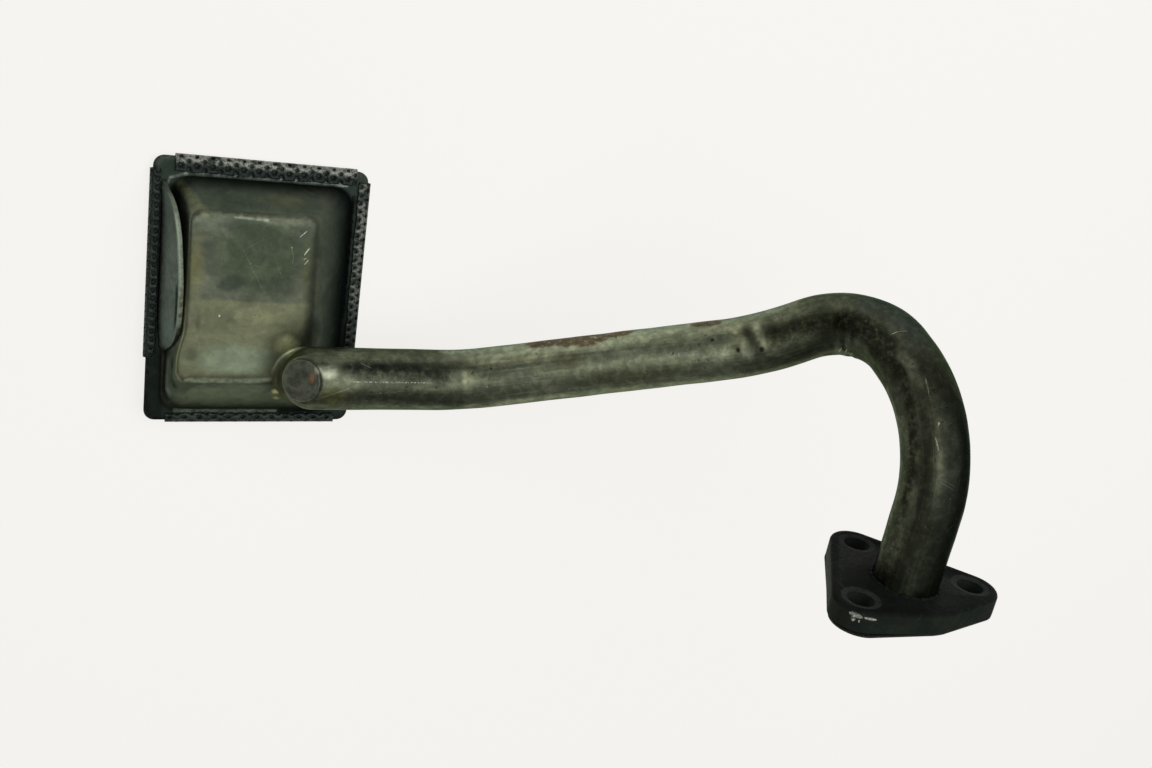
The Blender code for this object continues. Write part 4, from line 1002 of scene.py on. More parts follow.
def dome_rows():
    """Rows of points over the housing's outer face, from the rim's underside to the middle of the plateau."""
    rim = outline((-RIM_HALF[0], RIM_HALF[0], -RIM_HALF[1], RIM_HALF[1]), 0.0048)
    foot, top = dome_outlines()
    half = 0.00075

    def at(xy, z):
        return np.column_stack([xy, np.full(len(xy), z)])
    edge_in = rim * (1.0 - 0.0003 / np.abs(rim).max(axis=1, keepdims=True))
    rows = [at(edge_in, -half), at(rim, -half + 0.0003), at(rim, half - 0.0003), at(edge_in, half)]
    heel_reach = 0.0026 + 0.0012 * smooth_step(-0.02, -0.035, foot[:, 0])[:, None]
    heel = bend_between(at(rim, half), at(foot, half), at(top, DOME_HEIGHT), heel_reach * 0.8, heel_reach, 7)
    middle = np.array([(DOME_TOP[0] + DOME_TOP[1]) / 2, (DOME_TOP[2] + DOME_TOP[3]) / 2])
    centre = at(np.repeat(middle[None], len(top), 0), DOME_HEIGHT)
    crease_reach = 0.0042 - 0.0022 * smooth_step(-0.031, -0.033, top[:, 0])[:, None]
    crease = bend_between(at(foot, half), at(top, DOME_HEIGHT), centre, crease_reach, crease_reach, 9)
    rows += [rows[-1] + (heel[0] - rows[-1]) * t for t in (0.33, 0.66)]
    rows += heel
    rows += [heel[-1] + (crease[0] - heel[-1]) * t for t in np.linspace(0, 1, 14)[1:-1]]
    rows += crease
    rows += [crease[-1] + (centre - crease[-1]) * t for t in np.linspace(0, 0.985, 34)[1:]]
    rows = [row.copy() for row in rows]
    for row in rows:
        free = row[:, 2] > 0.004
        row[free, 2] = soft_min(row[free, 2], pocket_height(row[free, :2]), 0.0045)
        flat = smooth_step(0.018, 0.024, row[:, 2])
        row[:, 2] += 0.00022 * flat * ripple(row, 0.034, 3) - 0.0001 * flat
    return rows


def louvre_window(points):
    """Which places lie in the slot behind the louvre."""
    x, y, z = points.T
    return (x < -0.0330) & (y > -0.012) & (y < 0.030) & (z > 0.0065) & (z < 0.0160)


def build_dome(material):
    """The pressed housing: a sheet with rim, dome, pocket and the slot behind the louvre."""
    rows = dome_rows()
    count = len(rows[0])
    points = np.concatenate(rows)
    faces = grid_faces(len(rows), count, True)
    centres = points[np.array(faces)].mean(axis=1)
    faces = [face for face, out in zip(faces, louvre_window(centres)) if not out]
    tip = len(points)
    points = np.vstack([points, rows[-1].mean(axis=0)])
    last = (len(rows) - 1) * count
    faces += [[last + k, last + (k + 1) % count, tip] for k in range(count)]
    dome = mesh_piece("strainer_dome", points, faces, PAN, material)
    with_thickness(dome, 0.0014)
    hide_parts("strainer_housing")
    return dome


def with_thickness(piece, thickness):
    """Gives a sheet its thickness on its inner side."""
    step = piece.modifiers.new("sheet thickness", "SOLIDIFY")
    step.thickness = thickness
    step.offset = -1.0
    step.use_even_offset = True
    step.thickness_clamp = 1.2
    return step


LOUVRE_EDGE = (
    (-0.0422, 0.0500, 0.0028), (-0.0410, 0.0478, 0.0095), (-0.0397, 0.0448, 0.0155),
               (-0.0382, 0.0396, 0.0200),
    (-0.0368, 0.0310, 0.0224), (-0.0359, 0.0200, 0.0234), (-0.0352, 0.0080, 0.0236),
               (-0.0351, -0.0040, 0.0230),
    (-0.0354, -0.0120, 0.0208), (-0.0361, -0.0178, 0.0165), (-0.0374, -0.0222, 0.0105),
               (-0.0388, -0.0256, 0.0032),
)


def smooth_line(points, count):
    """A smooth line through points, read at even steps."""
    points = np.array(points, float)
    ahead = np.vstack([points[0] * 2 - points[1], points, points[-1] * 2 - points[-2]])
    found = []
    for k in range(len(points) - 1):
        a, b, c, d = ahead[k:k + 4]
        for t in np.linspace(0, 1, 12, endpoint=k == len(points) - 2):
            found.append(0.5 * (2 * b + (c - a) * t + (2 * a - 5 * b + 4 * c - d) * t ** 2
                                + (3 * b - a - 3 * c + d) * t ** 3))
    found = np.array(found)
    length = np.r_[0, np.cumsum(np.linalg.norm(np.diff(found, axis=0), axis=1))]
    even = np.linspace(0, length[-1], count)
    return np.column_stack([np.interp(even, length, found[:, k]) for k in range(3)])


def build_louvre(face, cut_edge):
    """The lanced lip on the left wall: a spoon-shaped sheet that leans over its slot."""
    edge = smooth_line(LOUVRE_EDGE, 110)
    root = edge.copy()
    root[:, 0] = -0.0418 + 0.0012 * smooth_step(-0.010, -0.026, edge[:, 1])
    root[:, 2] = 0.0006
    root[:, 1] = np.clip(edge[:, 1], -0.0255, 0.0500)
    rows = []
    for t in np.linspace(0.0, 1.0, 22):
        row = root + (edge - root) * t
        bulge = math.sin(math.pi * t) * 0.0011 * (1 - t * 0.3)
        row[:, 0] -= bulge * smooth_step(0.0, 0.012, edge[:, 2])
        rows.append(row)
    lip = mesh_piece("louvre_lip", np.concatenate(rows), grid_faces(len(rows), len(edge), False), PAN, face)
    lip.data.materials.append(cut_edge)
    shares = np.repeat(np.linspace(0.0, 1.0, len(rows)), len(edge))
    owners = np.zeros(len(lip.data.loops), int)
    lip.data.loops.foreach_get("vertex_index", owners)
    flat = lip.data.uv_layers.new(name="Across")
    flat.data.foreach_set("uv", np.column_stack([shares[owners], np.zeros(len(owners))]).ravel())
    sheet = lip.modifiers.new("sheet thickness", "SOLIDIFY")
    sheet.thickness = 0.0019
    sheet.offset = 0.0
    sheet.material_offset_rim = 1
    rounding = lip.modifiers.new("soft edge", "BEVEL")
    rounding.width = 0.0004
    rounding.segments = 2
    rounding.angle_limit = math.radians(50)
    return lip


def neck_place(height, angle, grow):
    """A place on the leaning, widening neck at a height and an angle in the pan's frame."""
    down = (TUBE_END.z - height) / TUBE_END.z
    radius = NECK_RADII[0] + (NECK_RADII[1] - NECK_RADII[0]) * down + grow
    return Vector((TUBE_END.x + NECK_LEAN.x * down + radius * math.cos(angle),
                   TUBE_END.y + NECK_LEAN.y * down + radius * math.sin(angle), height))


def neck_meets(surface_height, angle, grow):
    """The place where the grown neck meets a surface, found by halving."""
    low, high = 0.0, TUBE_END.z
    for _ in range(26):
        middle = (low + high) / 2.0
        place = neck_place(middle, angle, grow)
        low, high = (middle, high) if middle < surface_height(place) else (low, middle)
    return neck_place(low, angle, grow)


def build_neck(material, dome):
    """The drawn neck that rises from the dome into the tube, with a soft root."""
    tree = BVHTree.FromObject(dome, bpy.context.evaluated_depsgraph_get())

    def dome_height(place):
        hit = tree.ray_cast(Vector((place.x, place.y, 0.06)), Vector((0.0, 0.0, -1.0)), 0.08)[0]
        return hit.z if hit else -0.001
    rings = []
    for grow, lift in ((0.0030, -0.0001), (0.0021, 0.0001), (0.0013, 0.0006), (0.0006, 0.0014),
                       (0.0002, 0.0025),
                       (0.0, 0.0040)):
        ring = []
        for k in range(96):
            a = 2.0 * math.pi * k / 96
            foot = neck_meets(dome_height, a, grow)
            ring.append(neck_place(foot.z + lift, a, grow))
        rings.append(ring)
    last = [p.z for p in rings[-1]]
    for share in (0.3, 0.6, 1.0):
        rings.append([neck_place(z + (TUBE_END.z - 0.004 - z) * share, 2.0 * math.pi * k / 96, 0.0)
                      for k, z in enumerate(last)])
    points = [p for ring in rings for p in ring]
    return mesh_piece("strainer_neck", points, grid_faces(len(rings), 96, True), PAN, material)


# The screen


def fold_over(points, half):
    """Bends the flat sheet's flaps round the rim: x then y, from flat places to folded ones."""
    radius = FOLD_RADIUS
    out = np.column_stack([points[:, 0], points[:, 1], np.full(len(points), -radius)])
    for axis in (0, 1):
        start = half[axis] - 0.0005 - radius
        past = np.abs(points[:, axis]) - start
        sign = np.sign(points[:, axis])
        bent = past > 1e-9
        turn = np.clip(past / radius, 0.0, math.pi)
        rest = np.maximum(past - math.pi * radius, 0.0)
        place = start + radius * np.sin(turn) - rest
        out[bent, axis] = (sign * place)[bent]
        out[bent, 2] = (-radius * np.cos(turn))[bent]
    return out


FLAPS = {
    "left": (-0.0303, 0.0547, 0.0435),
    "right": (-0.0500, 0.0558, 0.0424),
    "near": (-0.0373, 0.0404, 0.0572),
    "far": (-0.0378, 0.0411, 0.0545),
}


def flap_reach(side):
    """How far a flap runs past the fold's start, measured flat."""
    axis = 0 if side in ("left", "right") else 1
    start = SCREEN_HALF[axis] - 0.00205
    return start, start + math.pi * FOLD_RADIUS + (start - FLAPS[side][2])


def on_sheet(centre):
    """Whether a flat place belongs to the cut sheet."""
    x, y = centre
    sx, sy = SCREEN_HALF[0] - 0.00205, SCREEN_HALF[1] - 0.00205
    if abs(x) <= sx and abs(y) <= sy:
        return abs(x) + abs(y) < sx + sy - 0.0030
    if abs(x) > sx and abs(y) > sy:
        return False
    side = ("left" if x < 0 else "right") if abs(x) > sx else ("near" if y < 0 else "far")
    low, high, _ = FLAPS[side]
    run = y if side in ("left", "right") else x
    reach = flap_reach(side)[1]
    return low < run < high and max(abs(x) if side in ("left", "right") else 0,
                                    abs(y) if side in ("near", "far") else 0) < reach


def flat_screen(pitch, radius):
    """The flat perforated sheet as cells, each a hexagon with a round hole."""
    step = pitch * math.sqrt(3.0) / 2.0
    bm = bmesh.new()
    columns, rows = int(0.055 / step) + 2, int(0.070 / pitch) + 2
    corner = pitch / math.sqrt(3.0)
    flat = corner * math.cos(math.radians(30.0))
    for i in range(-columns, columns + 1):
        for j in range(-rows, rows + 1):
            cx, cy = i * step + 0.0006, (j + 0.5 * (i % 2)) * pitch + 0.0009
            if not on_sheet((cx, cy)) and not any(on_sheet((cx + dx, cy + dy)) for dx in (-corner, corner)
                                                  for dy in (-flat, flat)):
                continue
            inner, outer = [], []
            for k in range(12):
                a = math.radians(30.0 * k)
                reach = corner if k % 2 == 0 else flat
                inner.append(bm.verts.new((cx + radius * math.cos(a), cy + radius * math.sin(a), 0.0)))
                outer.append(bm.verts.new((cx + reach * math.cos(a), cy + reach * math.sin(a), 0.0)))
            for k in range(12):
                n = (k + 1) % 12
                bm.faces.new((inner[k], outer[k], outer[n], inner[n]))
    bmesh.ops.remove_doubles(bm, verts=bm.verts, dist=1e-6)
    return bm


def trim_screen(bm):
    """Cuts the cells along the sheet's outline and along its folds, and drops what lies outside."""
    cuts = []
    for side, (low, high, _) in FLAPS.items():
        axis = 0 if side in ("left", "right") else 1
        sign = -1 if side in ("left", "near") else 1
        start, reach = flap_reach(side)
        for d in [start + FOLD_RADIUS * math.pi * k / 7 for k in range(8)] + [reach]:
            cuts.append((sign * d, axis))
        cuts += [(low, 1 - axis), (high, 1 - axis)]
    for distance, axis in cuts:
        normal = Vector((1.0, 0.0, 0.0)) if axis == 0 else Vector((0.0, 1.0, 0.0))
        everything = bm.verts[:] + bm.edges[:] + bm.faces[:]
        bmesh.ops.bisect_plane(bm, geom=everything, plane_co=normal * distance, plane_no=normal, dist=1e-6)
    corner = SCREEN_HALF[0] + SCREEN_HALF[1] - 0.0041 - 0.0030
    for sx in (-1, 1):
        for sy in (-1, 1):
            normal = Vector((sx, sy, 0.0)).normalized()
            everything = bm.verts[:] + bm.edges[:] + bm.faces[:]
            bmesh.ops.bisect_plane(bm, geom=everything, plane_co=normal * (corner / math.sqrt(2.0)),
                                   plane_no=normal,
                                   dist=1e-6)
    outside = [f for f in bm.faces if not on_sheet(f.calc_center_median()[:2])]
    bmesh.ops.delete(bm, geom=outside, context="FACES")
    return bm


def build_screen(material):
    """The perforated screen, cut flat, then folded over the rim, with torn tab edges."""
    size = bpy.context.scene.pickup_sizes
    bm = trim_screen(flat_screen(size.hole_pitch, size.hole_diameter / 2.0))
    mesh = bpy.data.meshes.new("perforated_screen")
    bm.to_mesh(mesh)
    bm.free()
    points = np.zeros(len(mesh.vertices) * 3)
    mesh.vertices.foreach_get("co", points)
    points = points.reshape(-1, 3)
    folded = fold_over(points, SCREEN_HALF)
    rng = np.random.default_rng(11)
    for side in FLAPS:
        axis = 0 if side in ("left", "right") else 1
        sign = -1 if side in ("left", "near") else 1
        start, reach = flap_reach(side)
        past = sign * points[:, axis]
        lip = smooth_step(reach - 0.0022, reach, past) * (past > start)
        wave = ripple(points, 0.011, 21 + axis) + 0.5 * ripple(points, 0.0035, 5)
        folded[:, axis] += sign * lip * (0.00035 * wave + rng.uniform(-0.00016, 0.00016, len(points)))
        top = past > start + math.pi * FOLD_RADIUS
        folded[top, 2] += (0.00012 + 0.00016 * wave * lip)[top]
        if side == "far":
            folded[:, 2] += lip * 0.0006
    mesh.vertices.foreach_set("co", folded.ravel())
    mesh.update()
    screen = dress("perforated_screen", mesh, PAN, material)
    sheet = screen.modifiers.new("sheet thickness", "SOLIDIFY")
    sheet.thickness = SCREEN_SHEET
    sheet.offset = 0.0
    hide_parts("strainer_screen")
    return screen


# The suction tube


def tube_route(step):
    """Even points along the tube's middle, from the closed end to the flange, in the part's frame."""
    closed = PAN @ TUBE_END
    corners = [closed, Vector((TUBE_TURNS[0].x, closed.y, closed.z))] + list(TUBE_TURNS[1:])
    points = [corners[0]]
    for before, corner, after, radius in zip(corners, corners[1:], corners[2:], TUBE_BENDS):
        arriving, leaving = (corner - before).normalized(), (after - corner).normalized()
        turn = arriving.angle(leaving)
        inward = (leaving - arriving * arriving.dot(leaving)).normalized()
        start = corner - arriving * radius * math.tan(turn / 2)
        for k in range(41):
            a = turn * k / 40
            points.append(start + inward * radius + (arriving * math.sin(a) - inward * math.cos(a)) * radius)
    points.append(corners[-1])
    points = np.array([tuple(p) for p in points])
    length = np.r_[0, np.cumsum(np.linalg.norm(np.diff(points, axis=0), axis=1))]
    even = np.linspace(0, length[-1], int(length[-1] / step))
    return np.column_stack([np.interp(even, length, points[:, k]) for k in range(3)]), even


# Wrinkles and dents of the bends: (middle, half length along the tube, height), in metres
WRINKLES = (
    ((-0.0520, 0.0870, -0.0650), 0.0032, 0.00035),
    ((-0.0440, 0.0890, -0.0605), 0.0030, 0.00042),
    ((-0.0480, 0.0840, -0.0610), 0.0030, -0.00030),
    ((-0.0160, 0.0925, -0.0400), 0.0022, 0.00022),
    ((-0.0155, 0.0935, -0.0360), 0.0020, 0.00020),
    ((-0.0155, 0.0930, -0.0380), 0.0018, -0.00024),
    ((-0.0170, 0.0910, -0.0430), 0.0026, -0.00018),
    ((-0.1600, 0.0500, -0.1110), 0.0090, -0.00025),
)


def build_tube(material):
    """The bent tube: round closed end, wrinkled bends, a bore open at the flange."""
    size = bpy.context.scene.pickup_sizes
    radius = size.tube_diameter / 2.0 - INSIDE_CAD
    route, run = tube_route(0.0009)
    tangent = np.gradient(route, axis=0)
    tangent /= np.linalg.norm(tangent, axis=1, keepdims=True)
    across = [np.array((PAN.to_3x3() @ Vector((0.0, 0.0, 1.0))))]
    for k in range(1, len(route)):
        turned = across[-1] - tangent[k] * across[-1].dot(tangent[k])
        across.append(turned / np.linalg.norm(turned))
    across = np.array(across)
    beside = np.cross(tangent, across)
    sides = 96
    angles = np.arange(sides + 1) * 2 * math.pi / sides - math.pi
    rings, along = [], []
    for k in range(14):
        a = math.radians(90.0 - 90.0 * (k + 0.35) / 14)
        centre = route[0] - tangent[0] * radius * math.sin(a)
        out = across[0] * np.cos(angles)[:, None] + beside[0] * np.sin(angles)[:, None]
        rings.append(centre + out * radius * math.cos(a))
        along.append(-radius * math.sin(a))
    for k in range(len(route)):
        out = across[k] * np.cos(angles)[:, None] + beside[k] * np.sin(angles)[:, None]
        rings.append(route[k] + out * radius)
        along.append(run[k])
    outer = len(rings)
    shell = np.array(rings)
    shell = dent_tube(shell, route, outer)
    inner = [shell[-1] * 0.96 + route[-1] * 0.04]
    for k in range(len(route) - 1, 0, -6):
        out = across[k] * np.cos(angles)[:, None] + beside[k] * np.sin(angles)[:, None]
        inner.append(route[k] + out * (radius - 0.0015))
        along.append(run[k])
    rows = list(shell) + inner[1:]
    points = np.concatenate(rows)
    mesh = bpy.data.meshes.new("bent_tube")
    faces = grid_faces(len(rows), sides + 1, False)
    tip = len(points)
    points = np.vstack([points, route[0] - tangent[0] * radius * 0.9995])
    faces += [[k + 1, k, tip] for k in range(sides)]
    mesh.from_pydata([tuple(p) for p in points], [], faces)
    place = np.array([(along[i // (sides + 1)], ((i % (sides + 1)) / sides - 0.5) * 2 * math.pi * radius)
                      if i < tip else (-radius, 0.0) for i in range(len(points))])
    flat = mesh.uv_layers.new(name="Along")
    corner = np.zeros(len(mesh.loops), int)
    mesh.loops.foreach_get("vertex_index", corner)
    flat.data.foreach_set("uv", place[corner].ravel())
    bm = bmesh.new()
    bm.from_mesh(mesh)
    bmesh.ops.remove_doubles(bm, verts=bm.verts, dist=2e-6)
    bmesh.ops.recalc_face_normals(bm, faces=bm.faces)
    bm.to_mesh(mesh)
    bm.free()
    tube = dress("bent_tube", mesh, Matrix.Identity(4), material)
    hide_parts("suction_tube")
    return tube


# How far the plug's flat seat lies from the tube's end point, along the plug's axis.
PLUG_SEAT = 0.00985


def dent_tube(shell, route, outer):
    """Presses the wrinkles and the plug's flat seat into the tube's rings."""
    flat = shell.reshape(-1, 3)
    owner = np.concatenate([np.repeat(route[:1], 14, 0), route])[:outer]
    middle = np.repeat(owner, shell.shape[1], 0)
    out = flat - middle
    out /= np.linalg.norm(out, axis=1, keepdims=True)
    move = np.zeros(len(flat))
    for centre, half, height in WRINKLES:
        nearest = route[np.argmin(np.linalg.norm(route - np.array(centre), axis=1))]
        aim = np.array(centre) - nearest
        aim /= np.linalg.norm(aim)
        away = np.linalg.norm(middle - nearest, axis=1) / half
        facing = smooth_step(0.55, 0.98, out @ aim)
        move += height * np.exp(-away ** 2) * facing
    move += 0.00012 * ripple(flat, 0.021, 8)
    flat = flat + out * move[:, None]
    aim = np.array(PAN.to_3x3() @ PLUG_AIM)
    closed = np.array(PAN @ TUBE_END)
    depth = (flat - closed) @ aim
    flat = flat - np.maximum(depth - PLUG_SEAT, 0.0)[:, None] * aim
    return flat.reshape(shell.shape)


def build_plug(material):
    """The dished plug in the tube's end, with a rolled rim."""
    aim = (PAN.to_3x3() @ PLUG_AIM).normalized()
    across = aim.orthogonal().normalized()
    beside = aim.cross(across)
    seat = PAN @ TUBE_END + aim * 0.0102
    profile = ((0.0092, -0.0004), (0.0092, 0.0005), (0.0090, 0.0009), (0.0087, 0.00108), (0.0083, 0.0011),
               (0.0079, 0.0010), (0.0074, 0.00088), (0.0066, 0.0008), (0.0048, 0.00086), (0.0029, 0.00093),
               (0.0012, 0.00096))
    rings = []
    for radius, height in profile:
        ring = [seat + aim * height + (across * math.cos(a) + beside * math.sin(a)) * radius
                for a in np.arange(72) * 2 * math.pi / 72]
        rings.append(np.array([tuple(p) for p in ring]))
    points = np.concatenate(rings)
    points += np.array(aim)[None] * (0.00012 * ripple(points, 0.006, 4))[:, None]
    faces = grid_faces(len(rings), 72, True)
    tip = len(points)
    points = np.vstack([points, tuple(seat + aim * 0.00098)])
    last = (len(rings) - 1) * 72
    faces += [[last + k, last + (k + 1) % 72, tip] for k in range(72)]
    plug = mesh_piece("end_plug", points, faces, Matrix.Identity(4), material)
    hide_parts("tube_end_plug")
    return plug


def tube_underside(place):
    """How high the tube's outside stands over a place in the pan's frame, at its run and its round end."""
    away = math.hypot(min(place.x - TUBE_END.x, 0.0), place.y - TUBE_END.y)
    radius = 0.0141
    if away >= radius:
        return TUBE_END.z
    return TUBE_END.z - math.sqrt(radius ** 2 - away ** 2)


def build_braze(material):
    """The uneven braze bead where the neck meets the tube."""
    rings = []
    count, sides = 144, 14
    for k in range(count):
        a = 2.0 * math.pi * k / count
        centre = neck_meets(tube_underside, a, 0.0002)
        out = Vector((math.cos(a), math.sin(a), 0.0))
        size = (0.0008 + 0.0003 * math.sin(7 * a + 1.0) + 0.00025 * math.sin(13 * a)
                + 0.0002 * math.sin(3 * a + 2.0))
        blob = (math.exp(-((a - math.pi * 1.03) / 0.20) ** 2)
                + 0.8 * math.exp(-((a - math.pi * 1.20) / 0.12) ** 2))
        size += 0.0008 * blob
        up = Vector((0.0, 0.0, 1.0))
        ring = [centre + (out * math.cos(b) + up * math.sin(b)) * size
                for b in np.arange(sides) * 2 * math.pi / sides]
        rings.append([tuple(p) for p in ring])
    rings.append(rings[0])
    bead = mesh_piece("braze_bead", np.concatenate([np.array(r) for r in rings]),
                      grid_faces(count + 1, sides, True),
                      PAN, material)
    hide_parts("neck_braze")
    return bead


# The flange


def lobed_outline(grow=0.0, turn=0.0, hub=HUB_RADIUS, count=360):
    """The flange's outline round its hub and lobes, as (x, z) points in order."""
    discs = [(BORE.x, BORE.z, hub + grow)]
    px, pz = flange_bolts()[1]
    c, s = math.cos(turn), math.sin(turn)
    for x, z in flange_bolts():
        discs.append((px + (x - px) * c - (z - pz) * s, pz + (x - px) * s + (z - pz) * c, LOBE_RADIUS + grow))
    points = []
    for k in range(count):
        a = 2 * math.pi * k / count
        n = (math.cos(a), math.sin(a))
        x, z, r = max(discs, key=lambda d: d[0] * n[0] + d[1] * n[1] + d[2])
        points.append((x + r * n[0], z + r * n[1]))
    return np.array(points)


def plate_rows(profile, turn=0.0, hub=HUB_RADIUS):
    """Rows of points up a plate's side, from (inset, height) pairs."""
    rows = []
    for inset, y in profile:
        xz = lobed_outline(-inset, turn, hub)
        rows.append(np.column_stack([xz[:, 0], np.full(len(xz), y), xz[:, 1]]))
    return rows


def plate_mesh(name, rows):
    """A closed plate from its side rows."""
    count = len(rows[0])
    faces = grid_faces(len(rows), count, True)
    faces.append(list(range(count))[::-1])
    faces.append([(len(rows) - 1) * count + k for k in range(count)])
    mesh = bpy.data.meshes.new(name)
    mesh.from_pydata([tuple(p) for p in np.concatenate(rows)], [], faces)
    bm = bmesh.new()
    bm.from_mesh(mesh)
    bmesh.ops.remove_doubles(bm, verts=bm.verts, dist=1e-6)
    bmesh.ops.recalc_face_normals(bm, faces=bm.faces)
    bm.to_mesh(mesh)
    bm.free()
    return mesh


def turned_cutter(name, x, z, profile):
    """A cutter turned round an axis along Y, from (radius, y) pairs."""
    rows = [np.column_stack([x + r * np.cos(np.arange(72) * 2 * math.pi / 72), np.full(72, y),
                             z + r * np.sin(np.arange(72) * 2 * math.pi / 72)]) for r, y in profile]
    mesh = plate_mesh(name, rows)
    cutter = bpy.data.objects.new(name, mesh)
    bpy.context.scene.collection.objects.link(cutter)
    return cutter


def cut_through(piece, cutters):
    """Cuts a piece with its cutters, keeps the result as its mesh and removes the cutters."""
    for cutter in cutters:
        step = piece.modifiers.new(cutter.name, "BOOLEAN")
        step.operation = "DIFFERENCE"
        step.solver = "EXACT"
        step.object = cutter
    bpy.context.view_layer.update()
    evaluated = piece.evaluated_get(bpy.context.evaluated_depsgraph_get())
    mesh = bpy.data.meshes.new_from_object(evaluated)
    piece.modifiers.clear()
    piece.data = mesh
    for cutter in cutters:
        bpy.data.objects.remove(cutter)
    mesh.shade_smooth()
    mesh.set_sharp_from_angle(angle=math.radians(40.0))


def build_flange(material):
    """The flange: soft-edged plate, three bolt holes with head marks, and the tube's bore."""
    low, top = FLANGE_LOW, FLANGE_TOP
    profile = ((0.0004, low), (0.0, low + 0.0004), (0.0, top - 0.0016), (0.0003, top - 0.0008),
               (0.0008, top - 0.0003), (0.0015, top - 0.00003), (0.0024, top))
    mesh = plate_mesh("bolt_flange", plate_rows(profile))
    flange = dress("bolt_flange", mesh, Matrix.Identity(4), material)
    cutters = [turned_cutter("bore", BORE.x, BORE.z, ((0.0142, -0.01), (0.0142, 0.03)))]
    for k, (x, z) in enumerate(flange_bolts()):
        cutters.append(turned_cutter(f"hole_{k}", x, z, (
            (0.0062, -0.004), (0.0062, low), (0.0056, low + 0.0006), (0.0056, top - 0.0009),
                                                         (0.0062, top - 0.00045),
            (0.0078, top - 0.00035), (0.0084, top - 0.00012), (0.0088, top + 0.0002), (0.0088, top + 0.004))))
    cut_through(flange, cutters)
    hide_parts("mounting_flange")
    return flange


def build_weld(material):
    """The low weld bead round the tube's foot."""
    count, sides = 160, 12
    rings = []
    for k in range(count + 1):
        a = 2 * math.pi * k / count
        size = 0.0010 + 0.00018 * math.sin(23 * a) + 0.00012 * math.sin(9 * a + 1) + 0.0001 * math.sin(41 * a)
        out = np.array((math.cos(a), 0.0, math.sin(a)))
        centre = np.array((BORE.x, FLANGE_TOP, BORE.z)) + out * 0.0144
        ring = [centre + (out * math.cos(b) * 0.9 + np.array((0.0, math.sin(b) * 0.85, 0.0))) * size
                for b in np.arange(sides) * 2 * math.pi / sides]
        rings.append(np.array(ring))
    weld = mesh_piece("foot_weld", np.concatenate(rings), grid_faces(count + 1, sides, True),
                      Matrix.Identity(4),
                      material)
    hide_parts("flange_weld")
    return weld


def build_gasket(material):
    """The thin gasket, proud at one corner, with ragged edges."""
    rows = plate_rows(((0.0, 0.00002), (0.0, 0.00078)), math.radians(-1.2), HUB_RADIUS - 0.0010)
    for row in rows:
        centre = np.array((BORE.x, 0.0, BORE.z))
        out = row - centre
        out[:, 1] = 0.0
        out /= np.linalg.norm(out, axis=1, keepdims=True)
        row += out * (0.00010 * ripple(row, 0.006, 9) - 0.0001)[:, None]
    gasket = dress("thin_gasket", plate_mesh("thin_gasket", rows), Matrix.Identity(4), material)
    cutters = [turned_cutter("bore", BORE.x, BORE.z, ((0.0149, -0.01), (0.0149, 0.03)))]
    for k, (x, z) in enumerate(flange_bolts()):
        cutters.append(turned_cutter(f"hole_{k}", x, z, ((0.0059, -0.01), (0.0059, 0.03))))
    cut_through(gasket, cutters)
    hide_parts("flange_gasket")
    return gasket


# The stage


def seen_share(shade, share):
    """A share for camera, mirror and see-through rays only, so that other rays get the real shading."""
    path = shade.add("ShaderNodeLightPath")
    seen = shade.math("MAXIMUM", path.outputs["Is Camera Ray"], path.outputs["Is Glossy Ray"])
    seen = shade.math("MAXIMUM", seen, path.outputs["Is Transmission Ray"])
    return shade.math("MULTIPLY", seen, share)


def build_floor():
    """The pale floor: it shows its tone to the camera and keeps a soft shadow."""
    look = bpy.context.scene.pickup_stage
    points = [(-4.0, -4.0, FLOOR_Z), (4.0, -4.0, FLOOR_Z), (4.0, 4.0, FLOOR_Z), (-4.0, 4.0, FLOOR_Z)]
    mesh = bpy.data.meshes.new("pale_floor")
    mesh.from_pydata(points, [], [(0, 1, 2, 3)])
    floor = bpy.data.objects.new("pale_floor", mesh)
    bpy.context.scene.collection.objects.link(floor)
    material = bpy.data.materials.new("Pale floor")
    material.use_nodes = True
    nodes = material.node_tree
    nodes.nodes.clear()
    s = Shade(nodes)
    matt = s.add("ShaderNodeBsdfDiffuse")
    matt.inputs["Color"].default_value = colour(look.floor_colour)
    glow = s.add("ShaderNodeEmission")
    glow.inputs["Color"].default_value = colour(look.floor_colour)
    glow.inputs["Strength"].default_value = look.floor_glow
    both = s.add("ShaderNodeMixShader")
    s.put(both.inputs[0], seen_share(s, 0.72))
    s.put(both.inputs[1], matt.outputs[0])
    s.put(both.inputs[2], glow.outputs[0])
    s.put(s.add("ShaderNodeOutputMaterial").inputs[0], both.outputs[0])
    mesh.materials.append(material)
    return floor


def build_world():
    """An even grey room for the light, which looks pale to the camera."""
    look = bpy.context.scene.pickup_stage
    world = bpy.data.worlds.new("Studio")
    bpy.context.scene.world = world
    world.use_nodes = True
    world.node_tree.nodes.clear()
    s = Shade(world.node_tree)
    room = s.add("ShaderNodeBackground")
    room.inputs["Color"].default_value = (1.0, 1.0, 1.0, 1.0)
    room.inputs["Strength"].default_value = look.room_strength
    pale = s.add("ShaderNodeBackground")
    pale.inputs["Color"].default_value = colour(look.floor_colour)
    both = s.add("ShaderNodeMixShader")
    s.put(both.inputs[0], s.add("ShaderNodeLightPath").outputs["Is Camera Ray"])
    s.put(both.inputs[1], room.outputs[0])
    s.put(both.inputs[2], pale.outputs[0])
    s.put(s.add("ShaderNodeOutputWorld").inputs[0], both.outputs[0])


def build_lamp(name, place, target, size, power):
    """A soft box that looks at a target."""
    lamp = bpy.data.lights.new(name, "AREA")
    lamp.shape = "RECTANGLE"
    lamp.size, lamp.size_y = size
    lamp.energy = power
    holder = bpy.data.objects.new(name, lamp)
    bpy.context.scene.collection.objects.link(holder)
    holder.location = place
    aim = (Vector(target) - Vector(place)).to_track_quat("-Z", "Y")
    holder.rotation_euler = aim.to_euler()
    return holder


